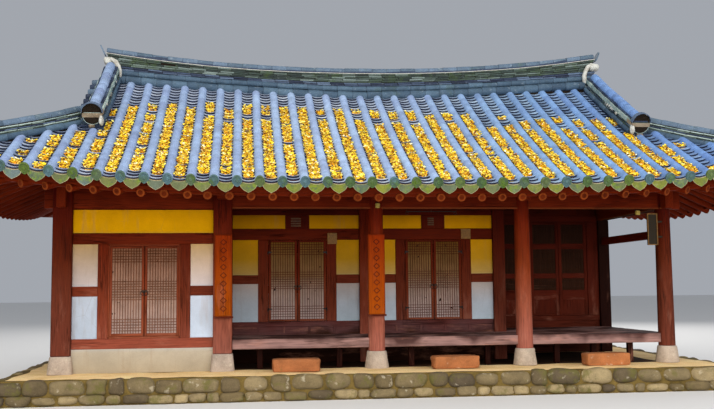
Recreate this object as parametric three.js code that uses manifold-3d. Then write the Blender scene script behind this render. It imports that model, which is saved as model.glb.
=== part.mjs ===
// A Korean tiled house: a stone platform, four bays of timber frame, a veranda and a swept
// hip-and-gable roof.
// Units are millimetres. +X runs along the front, +Y into the depth, +Z up, and Z = 0 is the level ground.
import * as THREE from "three";
import { mergeVertices } from "three/addons/utils/BufferGeometryUtils.js";
import Module from "manifold-3d";

// Plan of the frame
const BAY = 2500;
const LINES = [-2 * BAY, -BAY, 0, BAY, 2 * BAY];
const SPAN = 1360;
const Y_FRONT = -1.5 * SPAN;
const Y_MID = Y_FRONT + SPAN;
const Y_BACK = -Y_MID;
const Y_REAR = -Y_FRONT;
const WALL_4 = LINES[3] - 50;

// Levels above the ground
const PLATFORM_TOP = 380;
const STONE_TOP = PLATFORM_TOP + 276;
const FLOOR_TOP = PLATFORM_TOP + 490;
const ROOM_FLOOR_TOP = PLATFORM_TOP + 600;
const SILL_TOP = PLATFORM_TOP + 720;
const DOOR_HEAD = PLATFORM_TOP + 2160;
const BEAM_UNDER = PLATFORM_TOP + 2600;

// Platform and stones
const PLATFORM_X = 5900;
const PLATFORM_Y = 3140;
const PLATFORM_BATTER = 60;
const SQUARE_STONE = { foot: 390, head: 330 };
const ROUND_STONE = { foot: 400, head: 320 };
const STEP_SIZE = [750, 320, 200];
const STEP_CENTRES = [-1340, 1220, 3750];
const STEP_AHEAD = 380;

// Timber sizes
const SQUARE_COLUMN = 300;
const ROUND_FOOT = 280;
const ROUND_HEAD = 246;
const POST_WIDTH = 220;
const POST_HALF = POST_WIDTH / 2;
const RETURN_POST_HALF = 145;
const REAR_POST = 240;
const RAIL_DEPTH = 120;
const PLASTER_DEPTH = 84;
const BEAM_WIDTH = 140;
const PURLIN_RADIUS = 130;
const PURLIN_SIDES = 12;
const BEAM_END = 300;
const TOUCH = 0.4;

// Floor timbers
const PLANK_THICK = 40;
const EDGE_BEAM = { deep: 120, high: 155 };
const JOIST = { half: 50, high: 90 };
const LEG = { half: 45, front: 160, back: 250 };
const VERANDA_JOISTS = [-1900, -600, 600, 1900];
const CORNER_JOISTS = [3100, 3750, 4400];
const FLOOR_OUT = 50;

// Door leaves and their pin hinges
const DOOR_CENTRES = { 2: -1215, 3: 1245 };
const DOOR_WIDTH = 1030;
const DOOR_GAP = 10;
const DOOR_CLEAR = 6;
const LEAF_THICK = 36;
const PIN_RADIUS = 6;
const EYE_HOLE = 7;
const EYE_RADIUS = 12;
const EYE_HEIGHT = 30;
const HINGE_AHEAD = 14;
const HINGE_ASIDE = 2;
const COLLAR = { back: 14, front: 2, high: 22, ahead: 12 };
const NECK = { from: 8, to: 20, deep: [2, 12] };
const STRAP = { from: 12, to: 60, ahead: 6 };
const PANEL = { pinSide: 62, meetingSide: 50, ends: 60, sunk: 14 };
const JAMB_WIDTH = 180;
const OVER_DOOR_HALF = 215;

// Roof form
const ROOF_X = 6750;
const ROOF_Y = 3950;
const HIP_SHIFT = ROOF_X - ROOF_Y;
const GABLE_X = 4500;
const VERGE_X = 4700;
const EAVE_TOP = PLATFORM_TOP + 2785;
const ROOF_RISE = 2065;
const ROOF_RUN = 3860;
const ROOF_SAG = 0.14;
const EAVE_LIFT = 460;
const RIDGE_LIFT = 185;
const CORNER_OUT = 80;
const VERGE_THICK = 200;
const RAFTER_TOP = PLATFORM_TOP + 2650;
const RAFTER_START = 260;
const RAFTER_SLOPE = 0.42;
const RAFTER_RUN = 3270;
const UPPER_SLOPE = 0.8;
const RAFTER_RADIUS = 52;
const RAFTER_PITCH = 330;
const RAFTER_SINK = 12;
const RAFTER_ROOT = 1900;
const RAFTER_SIDES = 5;
const RAFTER_FAN = 0.12;
const HIP_RAFTER = { half: 90, up: 60, depths: [170, 420, 1000, 1900], drops: [90, 170, 190, 190] };
const CORNER_REACH = [0, 200, 700, 1200, 1700, 2080];
const GABLE = { half: 1800, thick: 60 };

// Rows of cover tiles, as ribs that stand on the tile bed
const ROW_PITCH_LONG = 323.5;
const ROW_PITCH_SHORT = 333.6;
const ROW = { foot: 74, crown: 48, height: 96, sink: 50, over: 60 };
const ROW_CLEAR = { ridge: 190, hip: 250, least: 180 };

// Ridges
const RIDGE_HALF = 4620;
const RIDGE_TOP = PLATFORM_TOP + 5465;
const RIDGE_TIP_LIFT = 355;
const RIDGE_WIDTH = 360;
const DESCENT_X = 4530;
const DESCENT_END = 2390;
const DESCENT = { up: 300, low: 150, width: 300 };
const HIP_RIDGE = { up: 210, low: 130, width: 230 };
const RIDGE_SEAT = 40;

const wasm = await Module();
wasm.setup();

const finish = (color, roughness) => new THREE.MeshStandardMaterial({ color, roughness, metalness: 0 });
const STONE = finish(0x8f8a7c, 0.95);
const TIMBER = finish(0x7a3a22, 0.7);
const PLASTER = finish(0xe9e2cf, 0.9);
const TILE = finish(0x55626b, 0.8);
const PLANK = finish(0x8a6248, 0.75);
const EARTH = finish(0xb9a88c, 0.95);

const house = new THREE.Group();

function addPiece(name, solid, material, place = [0, 0, 0]) {
  const mesh = new THREE.Mesh(geometryOf(solid), material);
  mesh.name = name;
  mesh.position.set(...place);
  house.add(mesh);
  return mesh;
}

// Solids from three.js geometry, and back
function solidOf(geometry) {
  const bare = geometry.clone();
  for (const key of Object.keys(bare.attributes)) {
    if (key !== "position") bare.deleteAttribute(key);
  }
  const merged = mergeVertices(bare, 1e-3);
  const vertProperties = new Float32Array(merged.attributes.position.array);
  const triVerts = new Uint32Array(merged.index.array);
  return new wasm.Manifold(new wasm.Mesh({ numProp: 3, vertProperties, triVerts }));
}

function geometryOf(solid) {
  const mesh = solid.getMesh();
  const geometry = new THREE.BufferGeometry();
  geometry.setAttribute("position", new THREE.BufferAttribute(new Float32Array(mesh.vertProperties), 3));
  geometry.setIndex(new THREE.BufferAttribute(new Uint32Array(mesh.triVerts), 1));
  geometry.computeVertexNormals();
  return geometry;
}

const join = (...solids) => solids.flat().reduce((whole, next) => whole.add(next));
const cut = (solid, ...tools) => tools.flat().reduce((left, tool) => left.subtract(tool), solid);

function block([x0, x1], [y0, y1], [z0, z1]) {
  const box = new THREE.BoxGeometry(x1 - x0, y1 - y0, z1 - z0);
  box.translate((x0 + x1) / 2, (y0 + y1) / 2, (z0 + z1) / 2);
  return solidOf(box);
}

// A round or polygonal bar between two points
function bar(from, to, radius, sides) {
  const start = new THREE.Vector3(...from);
  const end = new THREE.Vector3(...to);
  const along = end.clone().sub(start);
  const cylinder = new THREE.CylinderGeometry(radius, radius, along.length(), sides);
  const up = new THREE.Vector3(0, 1, 0);
  const turn = new THREE.Quaternion().setFromUnitVectors(up, along.clone().normalize());
  cylinder.applyQuaternion(turn);
  const middle = start.add(end).multiplyScalar(0.5);
  cylinder.translate(middle.x, middle.y, middle.z);
  return solidOf(cylinder);
}

// An upright taper: round with many sides, or square with four
function taper(foot, head, height, sides) {
  const across = sides === 4 ? Math.SQRT2 : 1;
  const cone = new THREE.CylinderGeometry((head / 2) * across, (foot / 2) * across, height, sides);
  if (sides === 4) cone.rotateY(Math.PI / 4);
  cone.rotateX(Math.PI / 2);
  cone.translate(0, 0, height / 2);
  return solidOf(cone);
}

// A closed skin over rings that have the same number of points, with flat ends
function loft(rings) {
  const count = rings[0].length;
  const points = rings.flat();
  const faces = [];
  for (let r = 0; r + 1 < rings.length; r++) {
    for (let i = 0; i < count; i++) {
      const a = r * count + i;
      const b = r * count + ((i + 1) % count);
      faces.push([a, b, b + count], [a, b + count, a + count]);
    }
  }
  const last = (rings.length - 1) * count;
  for (let i = 1; i + 1 < count; i++) {
    faces.push([0, i + 1, i], [last, last + i, last + i + 1]);
  }
  return closedSkin(points, faces);
}

// A solid from points and faces, turned to face out
function closedSkin(points, faces) {
  const make = (list) => {
    const geometry = new THREE.BufferGeometry();
    geometry.setAttribute("position", new THREE.Float32BufferAttribute(points.flat(), 3));
    geometry.setIndex(list.flat());
    return solidOf(geometry);
  };
  const solid = make(faces);
  return solid.volume() > 0 ? solid : make(faces.map(([a, b, c]) => [a, c, b]));
}

// The roof surface. Depth is the plan distance in from the straight eave, and reach is the place along
// the long eave, which the short sides continue so that both slopes meet along the hip.
const eaveLift = (reach) => EAVE_LIFT * (reach / (ROOF_X + 150)) ** 3.3;
const ridgeLift = (reach) => RIDGE_LIFT * (reach / 4200) ** 1.35;

function lifted(depth, reach) {
  const part = depth / ROOF_RUN;
  return (1 - part) * eaveLift(reach) + part * ridgeLift(reach);
}

function tileTop(depth, reach) {
  const part = depth / ROOF_RUN;
  return EAVE_TOP + ROOF_RISE * (part - ROOF_SAG * part * (1 - part)) + lifted(depth, reach);
}

function boardUnder(depth, reach) {
  const outer = Math.min(depth, RAFTER_RUN) - RAFTER_START;
  const inner = Math.max(depth - RAFTER_RUN, 0);
  return RAFTER_TOP + RAFTER_SLOPE * outer + UPPER_SLOPE * inner + lifted(depth, reach);
}

// The height of a purlin's centre where sloping rafters rest on it: the nearest corner of its
// section touches them
function purlinCentre(depth, reach, radius, sink) {
  const tilt = Math.atan(boardUnder(depth, reach) - boardUnder(depth - 1, reach));
  const step = (2 * Math.PI) / PURLIN_SIDES;
  const support = radius * Math.cos(tilt - step * Math.round(tilt / step));
  return boardUnder(depth, reach) - sink - (support + TOUCH) / Math.cos(tilt);
}

const cornerOut = (reach) => CORNER_OUT * (reach / (ROOF_X + CORNER_OUT)) ** 6;

// A solid over a patch of plan cells, between an upper and a lower height
function patchSolid(columns, upper, lower) {
  const points = [];
  const faces = [];
  const keys = new Map();
  const edges = new Map();
  const corner = ([x, y]) => {
    const key = x.toFixed(3) + "," + y.toFixed(3);
    if (!keys.has(key)) {
      keys.set(key, points.length);
      points.push([x, y, upper(x, y)], [x, y, lower(x, y)]);
    }
    return keys.get(key);
  };
  const triangle = (a, b, c) => {
    if (a === b || b === c || a === c) return;
    faces.push([a, b, c], [a + 1, c + 1, b + 1]);
    for (const [from, to] of [[a, b], [b, c], [c, a]]) edges.set(from + "," + to, [from, to]);
  };
  for (let i = 0; i + 1 < columns.length; i++) {
    for (let j = 0; j + 1 < columns[i].length; j++) {
      const [a, b] = [corner(columns[i][j]), corner(columns[i + 1][j])];
      const [c, d] = [corner(columns[i + 1][j + 1]), corner(columns[i][j + 1])];
      triangle(a, b, c);
      triangle(a, c, d);
    }
  }
  for (const [from, to] of edges.values()) {
    if (edges.has(to + "," + from)) continue;
    faces.push([from, from + 1, to + 1], [from, to + 1, to]);
  }
  return closedSkin(points, faces);
}

function steps(from, to, count) {
  return Array.from({ length: count + 1 }, (_, i) => from + ((to - from) * i) / count);
}

// One slope in its own plan: along the eave, and depth in from it. Place turns a plan point into
// the house's X and Y.
function slope({ half, main, top, shift, cells, place, unplace, verge }) {
  const lowRows = 2;
  const highRows = 2;
  const edge = (along) => -cornerOut(Math.abs(along) + shift);
  const hip = (along) => half - Math.abs(along);
  const upper = (x, y) => {
    const [along, depth] = unplace(x, y);
    return tileTop(depth, Math.abs(along) + shift);
  };
  const lower = (x, y) => {
    const [along, depth] = unplace(x, y);
    return boardUnder(depth, Math.abs(along) + shift);
  };
  const column = (along, from, to, rows) => steps(from, to, rows).map((depth) => place(along, depth));
  const lowColumn = (along) => column(along, edge(along), hip(Math.max(Math.abs(along), main)), lowRows);
  const middle = steps(-main, main, cells);
  const solids = [patchSolid(middle.map(lowColumn), upper, lower)];
  if (top > hip(main)) {
    solids.push(patchSolid(middle.map((along) => column(along, hip(main), top, highRows)), upper, lower));
  }
  for (const side of [-1, 1]) {
    const reach = CORNER_REACH.map((extra) => side * (main + extra));
    const columns = reach.map(lowColumn);
    columns.push(Array.from({ length: lowRows + 1 }, () => place(side * (half + CORNER_OUT), -CORNER_OUT)));
    solids.push(patchSolid(columns, upper, lower));
    if (verge) {
      const ends = [main, VERGE_X].map((along) => column(side * along, hip(along), top, highRows));
      solids.push(patchSolid(ends, upper, (x, y) => upper(x, y) - VERGE_THICK));
    }
  }
  return join(solids);
}

const LONG_SLOPE = {
  half: ROOF_X,
  main: GABLE_X,
  top: ROOF_Y,
  shift: 0,
  cells: 6,
  verge: true,
  pitch: ROW_PITCH_LONG,
};
const SHORT_SLOPE = {
  half: ROOF_Y,
  main: GABLE_X - HIP_SHIFT,
  top: ROOF_X - GABLE_X,
  shift: HIP_SHIFT,
  cells: 4,
  verge: false,
  pitch: ROW_PITCH_SHORT,
};
const slopes = {
  front: {
    ...LONG_SLOPE,
    place: (along, depth) => [along, depth - ROOF_Y],
    unplace: (x, y) => [x, y + ROOF_Y],
  },
  rear: {
    ...LONG_SLOPE,
    place: (along, depth) => [along, ROOF_Y - depth],
    unplace: (x, y) => [x, ROOF_Y - y],
  },
  left: {
    ...SHORT_SLOPE,
    place: (along, depth) => [depth - ROOF_X, along],
    unplace: (x, y) => [y, x + ROOF_X],
  },
  right: {
    ...SHORT_SLOPE,
    place: (along, depth) => [ROOF_X - depth, along],
    unplace: (x, y) => [y, ROOF_X - x],
  },
};

// Rafters under one slope: straight ones between the corners and a fan at each corner
function rafters({ half, main, shift, place }, run) {
  const height = (depth, along) => boardUnder(depth, Math.abs(along) + shift) - RAFTER_SINK;
  const bars = [];
  const straight = Math.floor((main - 200) / RAFTER_PITCH);
  for (let i = -straight; i <= straight; i++) {
    const along = i * RAFTER_PITCH;
    const ends = [RAFTER_START - 20, run].map((depth) => [...place(along, depth), height(depth, along)]);
    bars.push(bar(...ends, RAFTER_RADIUS, RAFTER_SIDES));
  }
  const first = (straight + 1) * RAFTER_PITCH;
  const last = half - RAFTER_START - 200;
  const fan = steps(first, last, Math.round((last - first) / RAFTER_PITCH));
  for (const side of [-1, 1]) {
    for (const along of fan) {
      const root = side * (first - RAFTER_PITCH / 2 + (along - first) * RAFTER_FAN);
      const start = RAFTER_START - 20 - cornerOut(along + shift);
      const outer = [...place(side * along, start), height(start, along)];
      const inner = [...place(root, RAFTER_ROOT), height(RAFTER_ROOT, root)];
      bars.push(bar(outer, inner, RAFTER_RADIUS, RAFTER_SIDES));
    }
  }
  return bars;
}

// Cover rows down one slope. Each stops short of the ridges.
function coverRows({ half, main, top, shift, pitch, place }) {
  const { foot, crown, height, sink, over } = ROW;
  const profile = [[-foot, -sink], [-crown, height], [crown, height], [foot, -sink]];
  const count = Math.floor(half / pitch);
  const rows = [];
  for (let i = -count; i <= count; i++) {
    const along = i * pitch;
    const reach = Math.abs(along) + shift;
    const start = -cornerOut(reach) - over;
    const end = rowEnd(Math.abs(along), half, main, top, shift);
    if (end - start < ROW_CLEAR.least) continue;
    const point = (depth, [side, up]) => [...place(along + side, depth), tileTop(depth, reach) + up];
    const ring = (depth) => profile.map((corner) => point(depth, corner));
    rows.push(loft([start, (start + end) / 2, end].map(ring)));
  }
  return rows;
}

function rowEnd(along, half, main, top, shift) {
  const fromDescent = Math.abs(along + shift - DESCENT_X);
  if (shift === 0 && fromDescent < DESCENT.width / 2 + ROW.foot) {
    return ROOF_Y - DESCENT_END - ROW_CLEAR.least / 2;
  }
  const nearHip = along > main - ROW_CLEAR.hip;
  return nearHip ? half - along - ROW_CLEAR.hip : top - ROW_CLEAR.ridge;
}

// The heavy rafter under each hip
function hipRafter(signX, signY, grow) {
  const { up, depths, drops } = HIP_RAFTER;
  const half = HIP_RAFTER.half + grow;
  const ring = (depth, drop) => {
    const [x, y] = [signX * (ROOF_X - depth), signY * (ROOF_Y - depth)];
    const z = boardUnder(depth, ROOF_X - depth);
    const aside = [(-signY * half) / Math.SQRT2, (signX * half) / Math.SQRT2];
    return [
      [x - aside[0], y - aside[1], z - drop - grow],
      [x + aside[0], y + aside[1], z - drop - grow],
      [x + aside[0], y + aside[1], z + up + grow],
      [x - aside[0], y - aside[1], z + up + grow],
    ];
  };
  const last = depths.length - 1;
  const lengthen = (i) => (i === 0 ? -grow : i === last ? grow : 0);
  return loft(depths.map((depth, i) => ring(depth + lengthen(i), drops[i])));
}

const raise = (solid, z) => solid.translate([0, 0, z]);

function addRoof() {
  const bare = {};
  for (const side of Object.keys(slopes)) bare[side] = slope(slopes[side]);
  const corners = [[-1, -1], [1, -1], [-1, 1], [1, 1]];
  const grown = corners.map(([x, y]) => hipRafter(x, y, TOUCH));
  const made = {};
  for (const side of ["front", "rear"]) {
    made[side] = cut(join(bare[side], rafters(slopes[side], ROOF_Y - 700)), grown);
  }
  const verges = ["front", "rear"].flatMap((side) => [raise(made[side], -TOUCH), raise(bare[side], TOUCH)]);
  for (const [side, sign] of [["left", -1], ["right", 1]]) {
    const own = corners.filter(([x]) => x === sign).map(([x, y]) => hipRafter(x, y, 0));
    const whole = join(bare[side], rafters(slopes[side], 2200)).intersect(hipSides(sign));
    made[side] = join(cut(whole, verges), own);
  }
  for (const side of Object.keys(slopes)) {
    addPiece("roof_" + side, join(made[side], coverRows(slopes[side])), TILE);
  }
  return bare;
}

// The plan region of a short slope, between its two hips
function hipSides(sign) {
  const points = [[GABLE_X - 100, 0], [ROOF_X + 300, 0]];
  const spread = (x) => x - HIP_SHIFT - TOUCH;
  const ring = (z) => [
    [sign * points[0][0], -spread(points[0][0]), z],
    [sign * points[1][0], -spread(points[1][0]), z],
    [sign * points[1][0], spread(points[1][0]), z],
    [sign * points[0][0], spread(points[0][0]), z],
  ];
  return loft([ring(PLATFORM_TOP + 1500), ring(PLATFORM_TOP + 7000)]);
}

// Ridge sections: a broad tiled foot, a stack of thin courses and a round cap
function ridgeRing(centre, across, { up, low, width }) {
  const shape = [
    [-0.5, -low], [-0.5, 0.34 * up], [-0.36, 0.4 * up], [-0.34, 0.82 * up], [-0.2, up],
    [0.2, up], [0.34, 0.82 * up], [0.36, 0.4 * up], [0.5, 0.34 * up], [0.5, -low],
  ];
  return shape.map(([side, z]) => [
    centre[0] + across[0] * side * width,
    centre[1] + across[1] * side * width,
    centre[2] + z,
  ]);
}

function mainRidge(roofs) {
  const ring = (x) => {
    const base = tileTop(ROOF_Y, Math.abs(x)) + 10;
    const top = RIDGE_TOP + RIDGE_TIP_LIFT * (Math.abs(x) / 4700) ** 2.3;
    return ridgeRing([x, 0, base], [0, 1], { up: top - base, low: 160, width: RIDGE_WIDTH });
  };
  const raw = loft(steps(-RIDGE_HALF, RIDGE_HALF, 14).map(ring));
  return cut(raw, raise(roofs.front, TOUCH), raise(roofs.rear, TOUCH));
}

// One corner's ridges: the steep one down the gable edge, and the hip ridge out to the corner
function cornerRidge(signX, signY, roofs) {
  const descent = steps(RIDGE_WIDTH / 2 + 1, DESCENT_END, 6).map((y) => {
    const base = tileTop(ROOF_Y - y, DESCENT_X) + RIDGE_SEAT;
    return ridgeRing([signX * DESCENT_X, signY * y, base], [signY, 0], DESCENT);
  });
  const hip = steps(ROOF_X - DESCENT_X - 40, 60, 8).map((depth) => {
    const base = tileTop(depth, ROOF_X - depth) + RIDGE_SEAT;
    const point = [signX * (ROOF_X - depth), signY * (ROOF_Y - depth), base];
    return ridgeRing(point, [-signY / Math.SQRT2, signX / Math.SQRT2], HIP_RIDGE);
  });
  const raw = join(loft(descent), loft(hip));
  const short = signX < 0 ? roofs.left : roofs.right;
  const long = signY < 0 ? roofs.front : roofs.rear;
  return cut(raw, raise(join(short, long), TOUCH));
}

function gable(sign, roofs) {
  const low = tileTop(ROOF_X - GABLE_X, HIP_SHIFT) - 60;
  const high = tileTop(ROOF_Y, GABLE_X) - VERGE_THICK / 2;
  const ring = (x) => [
    [sign * x, -GABLE.half, low],
    [sign * x, GABLE.half, low],
    [sign * x, 0, high],
  ];
  const raw = loft([ring(GABLE_X + 1), ring(GABLE_X + 1 + GABLE.thick)]);
  const side = sign < 0 ? roofs.left : roofs.right;
  return cut(raw, raise(side, TOUCH), raise(roofs.front, -TOUCH), raise(roofs.rear, -TOUCH));
}

function addRidges(roofs) {
  addPiece("main_ridge", mainRidge(roofs), TILE);
  const corners = { front_left: [-1, -1], front_right: [1, -1], rear_left: [-1, 1], rear_right: [1, 1] };
  for (const [name, [x, y]] of Object.entries(corners)) {
    addPiece("corner_ridge_" + name, cornerRidge(x, y, roofs), TILE);
  }
  addPiece("gable_left", gable(-1, roofs), TIMBER);
  addPiece("gable_right", gable(1, roofs), TIMBER);
}

// Platform, base stones and step blocks
function addBase() {
  const half = [PLATFORM_X - PLATFORM_BATTER, PLATFORM_Y - PLATFORM_BATTER];
  const ring = (grow, z) => [
    [-half[0] - grow, -half[1] - grow, z],
    [half[0] + grow, -half[1] - grow, z],
    [half[0] + grow, half[1] + grow, z],
    [-half[0] - grow, half[1] + grow, z],
  ];
  addPiece("stone_platform", loft([ring(PLATFORM_BATTER, 0), ring(0, PLATFORM_TOP)]), STONE);
  LINES.forEach((x, i) => {
    const square = i < 2;
    const { foot, head } = square ? SQUARE_STONE : ROUND_STONE;
    const stone = taper(foot, head, STONE_TOP - PLATFORM_TOP, square ? 4 : 20);
    addPiece("base_stone_" + (i + 1), stone, STONE, [x, Y_FRONT, PLATFORM_TOP]);
  });
  STEP_CENTRES.forEach((x, i) => {
    const [long, deep, high] = STEP_SIZE;
    const stone = block([-long / 2, long / 2], [-deep / 2, deep / 2], [0, high]);
    addPiece("step_block_" + (i + 2), stone, STONE, [x, Y_FRONT - STEP_AHEAD, PLATFORM_TOP]);
  });
}

// The purlins lie on the column heads, and the boards under them run between the columns
const PURLIN_AT = {
  long: seatUnderRafters(ROOF_Y + Y_FRONT, 0),
  short: seatUnderRafters(ROOF_X + LINES[0], HIP_SHIFT),
};
const COLUMN_TOP = PURLIN_AT.short - PURLIN_RADIUS - TOUCH;

function seatUnderRafters(depth, reach) {
  const belowBoards = RAFTER_SINK + RAFTER_RADIUS / Math.cos(Math.atan(RAFTER_SLOPE));
  return purlinCentre(depth, reach, PURLIN_RADIUS, belowBoards);
}

function frontColumn(line, grow) {
  const height = COLUMN_TOP - STONE_TOP;
  const half = SQUARE_COLUMN / 2;
  return line <= 2
    ? block([-half, half], [-half, half], [0, height])
    : taper(ROUND_FOOT + 2 * grow, ROUND_HEAD + 2 * grow, height, 20);
}

function addColumns() {
  LINES.forEach((x, i) => {
    const placed = frontColumn(i + 1, 0).translate([x, Y_FRONT, STONE_TOP]);
    const solid = cut(placed, crossHoles(Y_FRONT)).translate([-x, -Y_FRONT, -STONE_TOP]);
    addPiece("column_front_" + (i + 1), solid, TIMBER, [x, Y_FRONT, STONE_TOP]);
  });
  addPiece("post_mid_3", cut(postAt(0, Y_MID, HIGH_WALL_TOP), crossHoles(Y_MID)), TIMBER);
}

// A squared upright from the platform, round one place in the plan
function postAt(x, y, top, half = POST_HALF) {
  return block([x - half, x + half], [y - half, y + half], [PLATFORM_TOP, top]);
}

// A head beam: a round purlin on a deep board
function headBeam(length, along, centre) {
  const half = length / 2;
  const boardTop = centre - PURLIN_RADIUS + 10;
  const board = block([-half, half], [-BEAM_WIDTH / 2, BEAM_WIDTH / 2], [BEAM_UNDER, boardTop]);
  const purlin = bar([-half, 0, centre], [half, 0, centre], PURLIN_RADIUS, PURLIN_SIDES);
  const solid = join(board, purlin);
  return along === "x" ? solid : solid.rotate([0, 0, 90]);
}

function addBeams() {
  const zone = PURLIN_RADIUS + 1;
  const around = (x, y, z) => block([x - zone, x + zone], [y - zone, y + zone], z);
  const above = [PURLIN_AT.short, PURLIN_AT.long + 200];
  const below = [BEAM_UNDER - 10, PURLIN_AT.short + TOUCH];
  const columns = LINES.map((x, i) => frontColumn(i + 1, TOUCH).translate([x, Y_FRONT, STONE_TOP]));
  const posts = LINES.map(rearPost);
  for (const [name, y, carried] of [["front", Y_FRONT, columns], ["rear", Y_REAR, posts]]) {
    const beam = headBeam(4 * BAY + 2 * BEAM_END, "x", PURLIN_AT.long).translate([0, y, 0]);
    const laps = [LINES[0], LINES[4]].map((x) => around(x, y, above));
    addPiece("head_beam_" + name, cut(beam, laps, carried, crossHoles(y)), TIMBER);
  }
  for (const [name, x] of [["left", LINES[0]], ["right", LINES[4]]]) {
    const beam = headBeam(2 * Y_REAR + 2 * BEAM_END, "y", PURLIN_AT.short).translate([x, 0, 0]);
    const laps = [Y_FRONT, Y_REAR].map((y) => around(x, y, below));
    addPiece("head_beam_" + name, cut(beam, laps, columns, posts), TIMBER);
  }
  addCrossBeams();
}

function rearPost(x) {
  return postAt(x, Y_REAR, COLUMN_TOP, REAR_POST / 2);
}

// Cross beams lie front to rear in the column heads, each with its king post under the ridge purlin
const CROSS = { width: 180, low: BEAM_UNDER + 140, out: 330 };
const KING_POST_HALF = 110;
const RIDGE_PURLIN = { radius: 120, half: 4380 };
RIDGE_PURLIN.z = purlinCentre(ROOF_Y, 0, RIDGE_PURLIN.radius, 0);
const HIGH_WALL_TOP = BEAM_UNDER + 1195;

function crossHoles(y) {
  const half = CROSS.width / 2;
  const height = [CROSS.low, COLUMN_TOP + 1];
  return LINES.slice(1, 4).map((x) => block([x - half, x + half], [y - 200, y + 200], height));
}

function addCrossBeams() {
  const half = CROSS.width / 2;
  const reach = Y_REAR + CROSS.out;
  const postTop = RIDGE_PURLIN.z - RIDGE_PURLIN.radius - TOUCH;
  LINES.slice(1, 4).forEach((x, i) => {
    const beam = block([-half, half], [-reach, reach], [CROSS.low, COLUMN_TOP]);
    const post = block([-half, half], [-KING_POST_HALF, KING_POST_HALF], [COLUMN_TOP - 10, postTop]);
    addPiece("cross_beam_" + (i + 2), join(beam, post), TIMBER, [x, 0, 0]);
  });
  const { radius, z, half: reachX } = RIDGE_PURLIN;
  addPiece("ridge_purlin", bar([-reachX, 0, z], [reachX, 0, z], radius, PURLIN_SIDES), TIMBER);
}

// Floors: the plank veranda, the deep corner floor and the heated room floor
function plankFloor([x0, x1], [y0, y1], joistsX) {
  const under = FLOOR_TOP - PLANK_THICK;
  const planks = block([x0, x1], [y0, y1], [under, FLOOR_TOP]);
  const edge = block([x0, x1], [y0, y0 + EDGE_BEAM.deep], [FLOOR_TOP - EDGE_BEAM.high, FLOOR_TOP]);
  const about = (x, half) => [x - half, x + half];
  const joists = joistsX.map((x) => block(about(x, JOIST.half), [y0, y1], [under - JOIST.high, under]));
  const legDepth = [y0 + LEG.front, y0 + LEG.back];
  const legs = joistsX.map((x) => block(about(x, LEG.half), legDepth, [PLATFORM_TOP, under]));
  return join(planks, edge, joists, legs);
}

// Room for a round column and for the stone under it
function columnHoles(...lines) {
  return lines.flatMap((line) => {
    const x = LINES[line - 1];
    const column = bar([x, Y_FRONT, PLATFORM_TOP], [x, Y_FRONT, BEAM_UNDER], ROUND_FOOT / 2 + 1, 20);
    const stoneRadius = ROUND_STONE.foot / 2 + 6;
    const stone = bar([x, Y_FRONT, PLATFORM_TOP - 10], [x, Y_FRONT, STONE_TOP + 1], stoneRadius, 20);
    return [column, stone];
  });
}

function addFloors() {
  const front = Y_FRONT - FLOOR_OUT;
  const joint = WALL_4 + 60;
  const left = LINES[1] + SQUARE_COLUMN / 2;
  const veranda = plankFloor([left, joint], [front, Y_MID - RAIL_DEPTH / 2], VERANDA_JOISTS);
  const wallPost = postAt(WALL_4, Y_MID, BEAM_UNDER);
  const verandaHoles = [...columnHoles(3, 4), postAt(0, Y_MID, BEAM_UNDER), wallPost];
  addPiece("veranda_floor", cut(veranda, verandaHoles), PLANK);
  const right = LINES[4] + FLOOR_OUT;
  const deep = plankFloor([joint, right], [front, Y_BACK - RAIL_DEPTH / 2], CORNER_JOISTS);
  const cornerPosts = [wallPost, postAt(LINES[4], Y_BACK, BEAM_UNDER), postAt(WALL_4, Y_BACK, BEAM_UNDER)];
  addPiece("corner_floor", cut(deep, columnHoles(4, 5), cornerPosts), PLANK);
  addPiece("room_floor", roomFloor(), EARTH);
}

// The raised floor inside the rooms, cut round the posts and the square base stones
function roomFloor() {
  const inner = RAIL_DEPTH / 2;
  const height = [PLATFORM_TOP, ROOM_FLOOR_TOP];
  const rear = Y_REAR - inner;
  const rooms = [
    block([LINES[0] + inner, LINES[1] - inner], [Y_FRONT + inner, rear], height),
    block([LINES[1] - inner, WALL_4 - inner], [Y_MID + inner, rear], height),
    block([WALL_4 - inner, LINES[4] - inner], [Y_BACK + inner, rear], height),
  ];
  const hole = (half) => ([x, y]) => postAt(x, y, BEAM_UNDER, half);
  const stones = [[LINES[0], Y_FRONT], [LINES[1], Y_FRONT]].map(hole(SQUARE_STONE.foot / 2));
  const middle = [[LINES[0], Y_MID], [0, Y_MID], [WALL_4, Y_MID]].map(hole(POST_HALF));
  const back = [[LINES[0], Y_BACK], [WALL_4, Y_BACK], [LINES[4], Y_BACK]].map(hole(POST_HALF));
  const rearPosts = LINES.map((x) => [x, Y_REAR]).map(hole(REAR_POST / 2));
  const returnPost = hole(RETURN_POST_HALF)([LINES[1], Y_MID]);
  return cut(join(rooms), stones, middle, back, rearPosts, returnPost);
}

// Walls: rails and posts stand proud of the plaster between them
function wall(length, rails, posts) {
  const deep = RAIL_DEPTH / 2;
  const thin = PLASTER_DEPTH / 2;
  const plaster = block([0, length], [-thin, thin], [PLATFORM_TOP, BEAM_UNDER]);
  const timbers = rails.map((height) => block([0, length], [-deep, deep], height));
  const uprights = posts.map(([x0, x1, z0 = PLATFORM_TOP, z1 = BEAM_UNDER]) => {
    return block([x0, x1], [-deep, deep], [z0, z1]);
  });
  return join(plaster, timbers, uprights);
}

const RAILS = {
  sill: [PLATFORM_TOP + 377, PLATFORM_TOP + 537],
  middle: [PLATFORM_TOP + 1205, PLATFORM_TOP + 1360],
  upper: [PLATFORM_TOP + 2030, PLATFORM_TOP + 2206],
};

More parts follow.
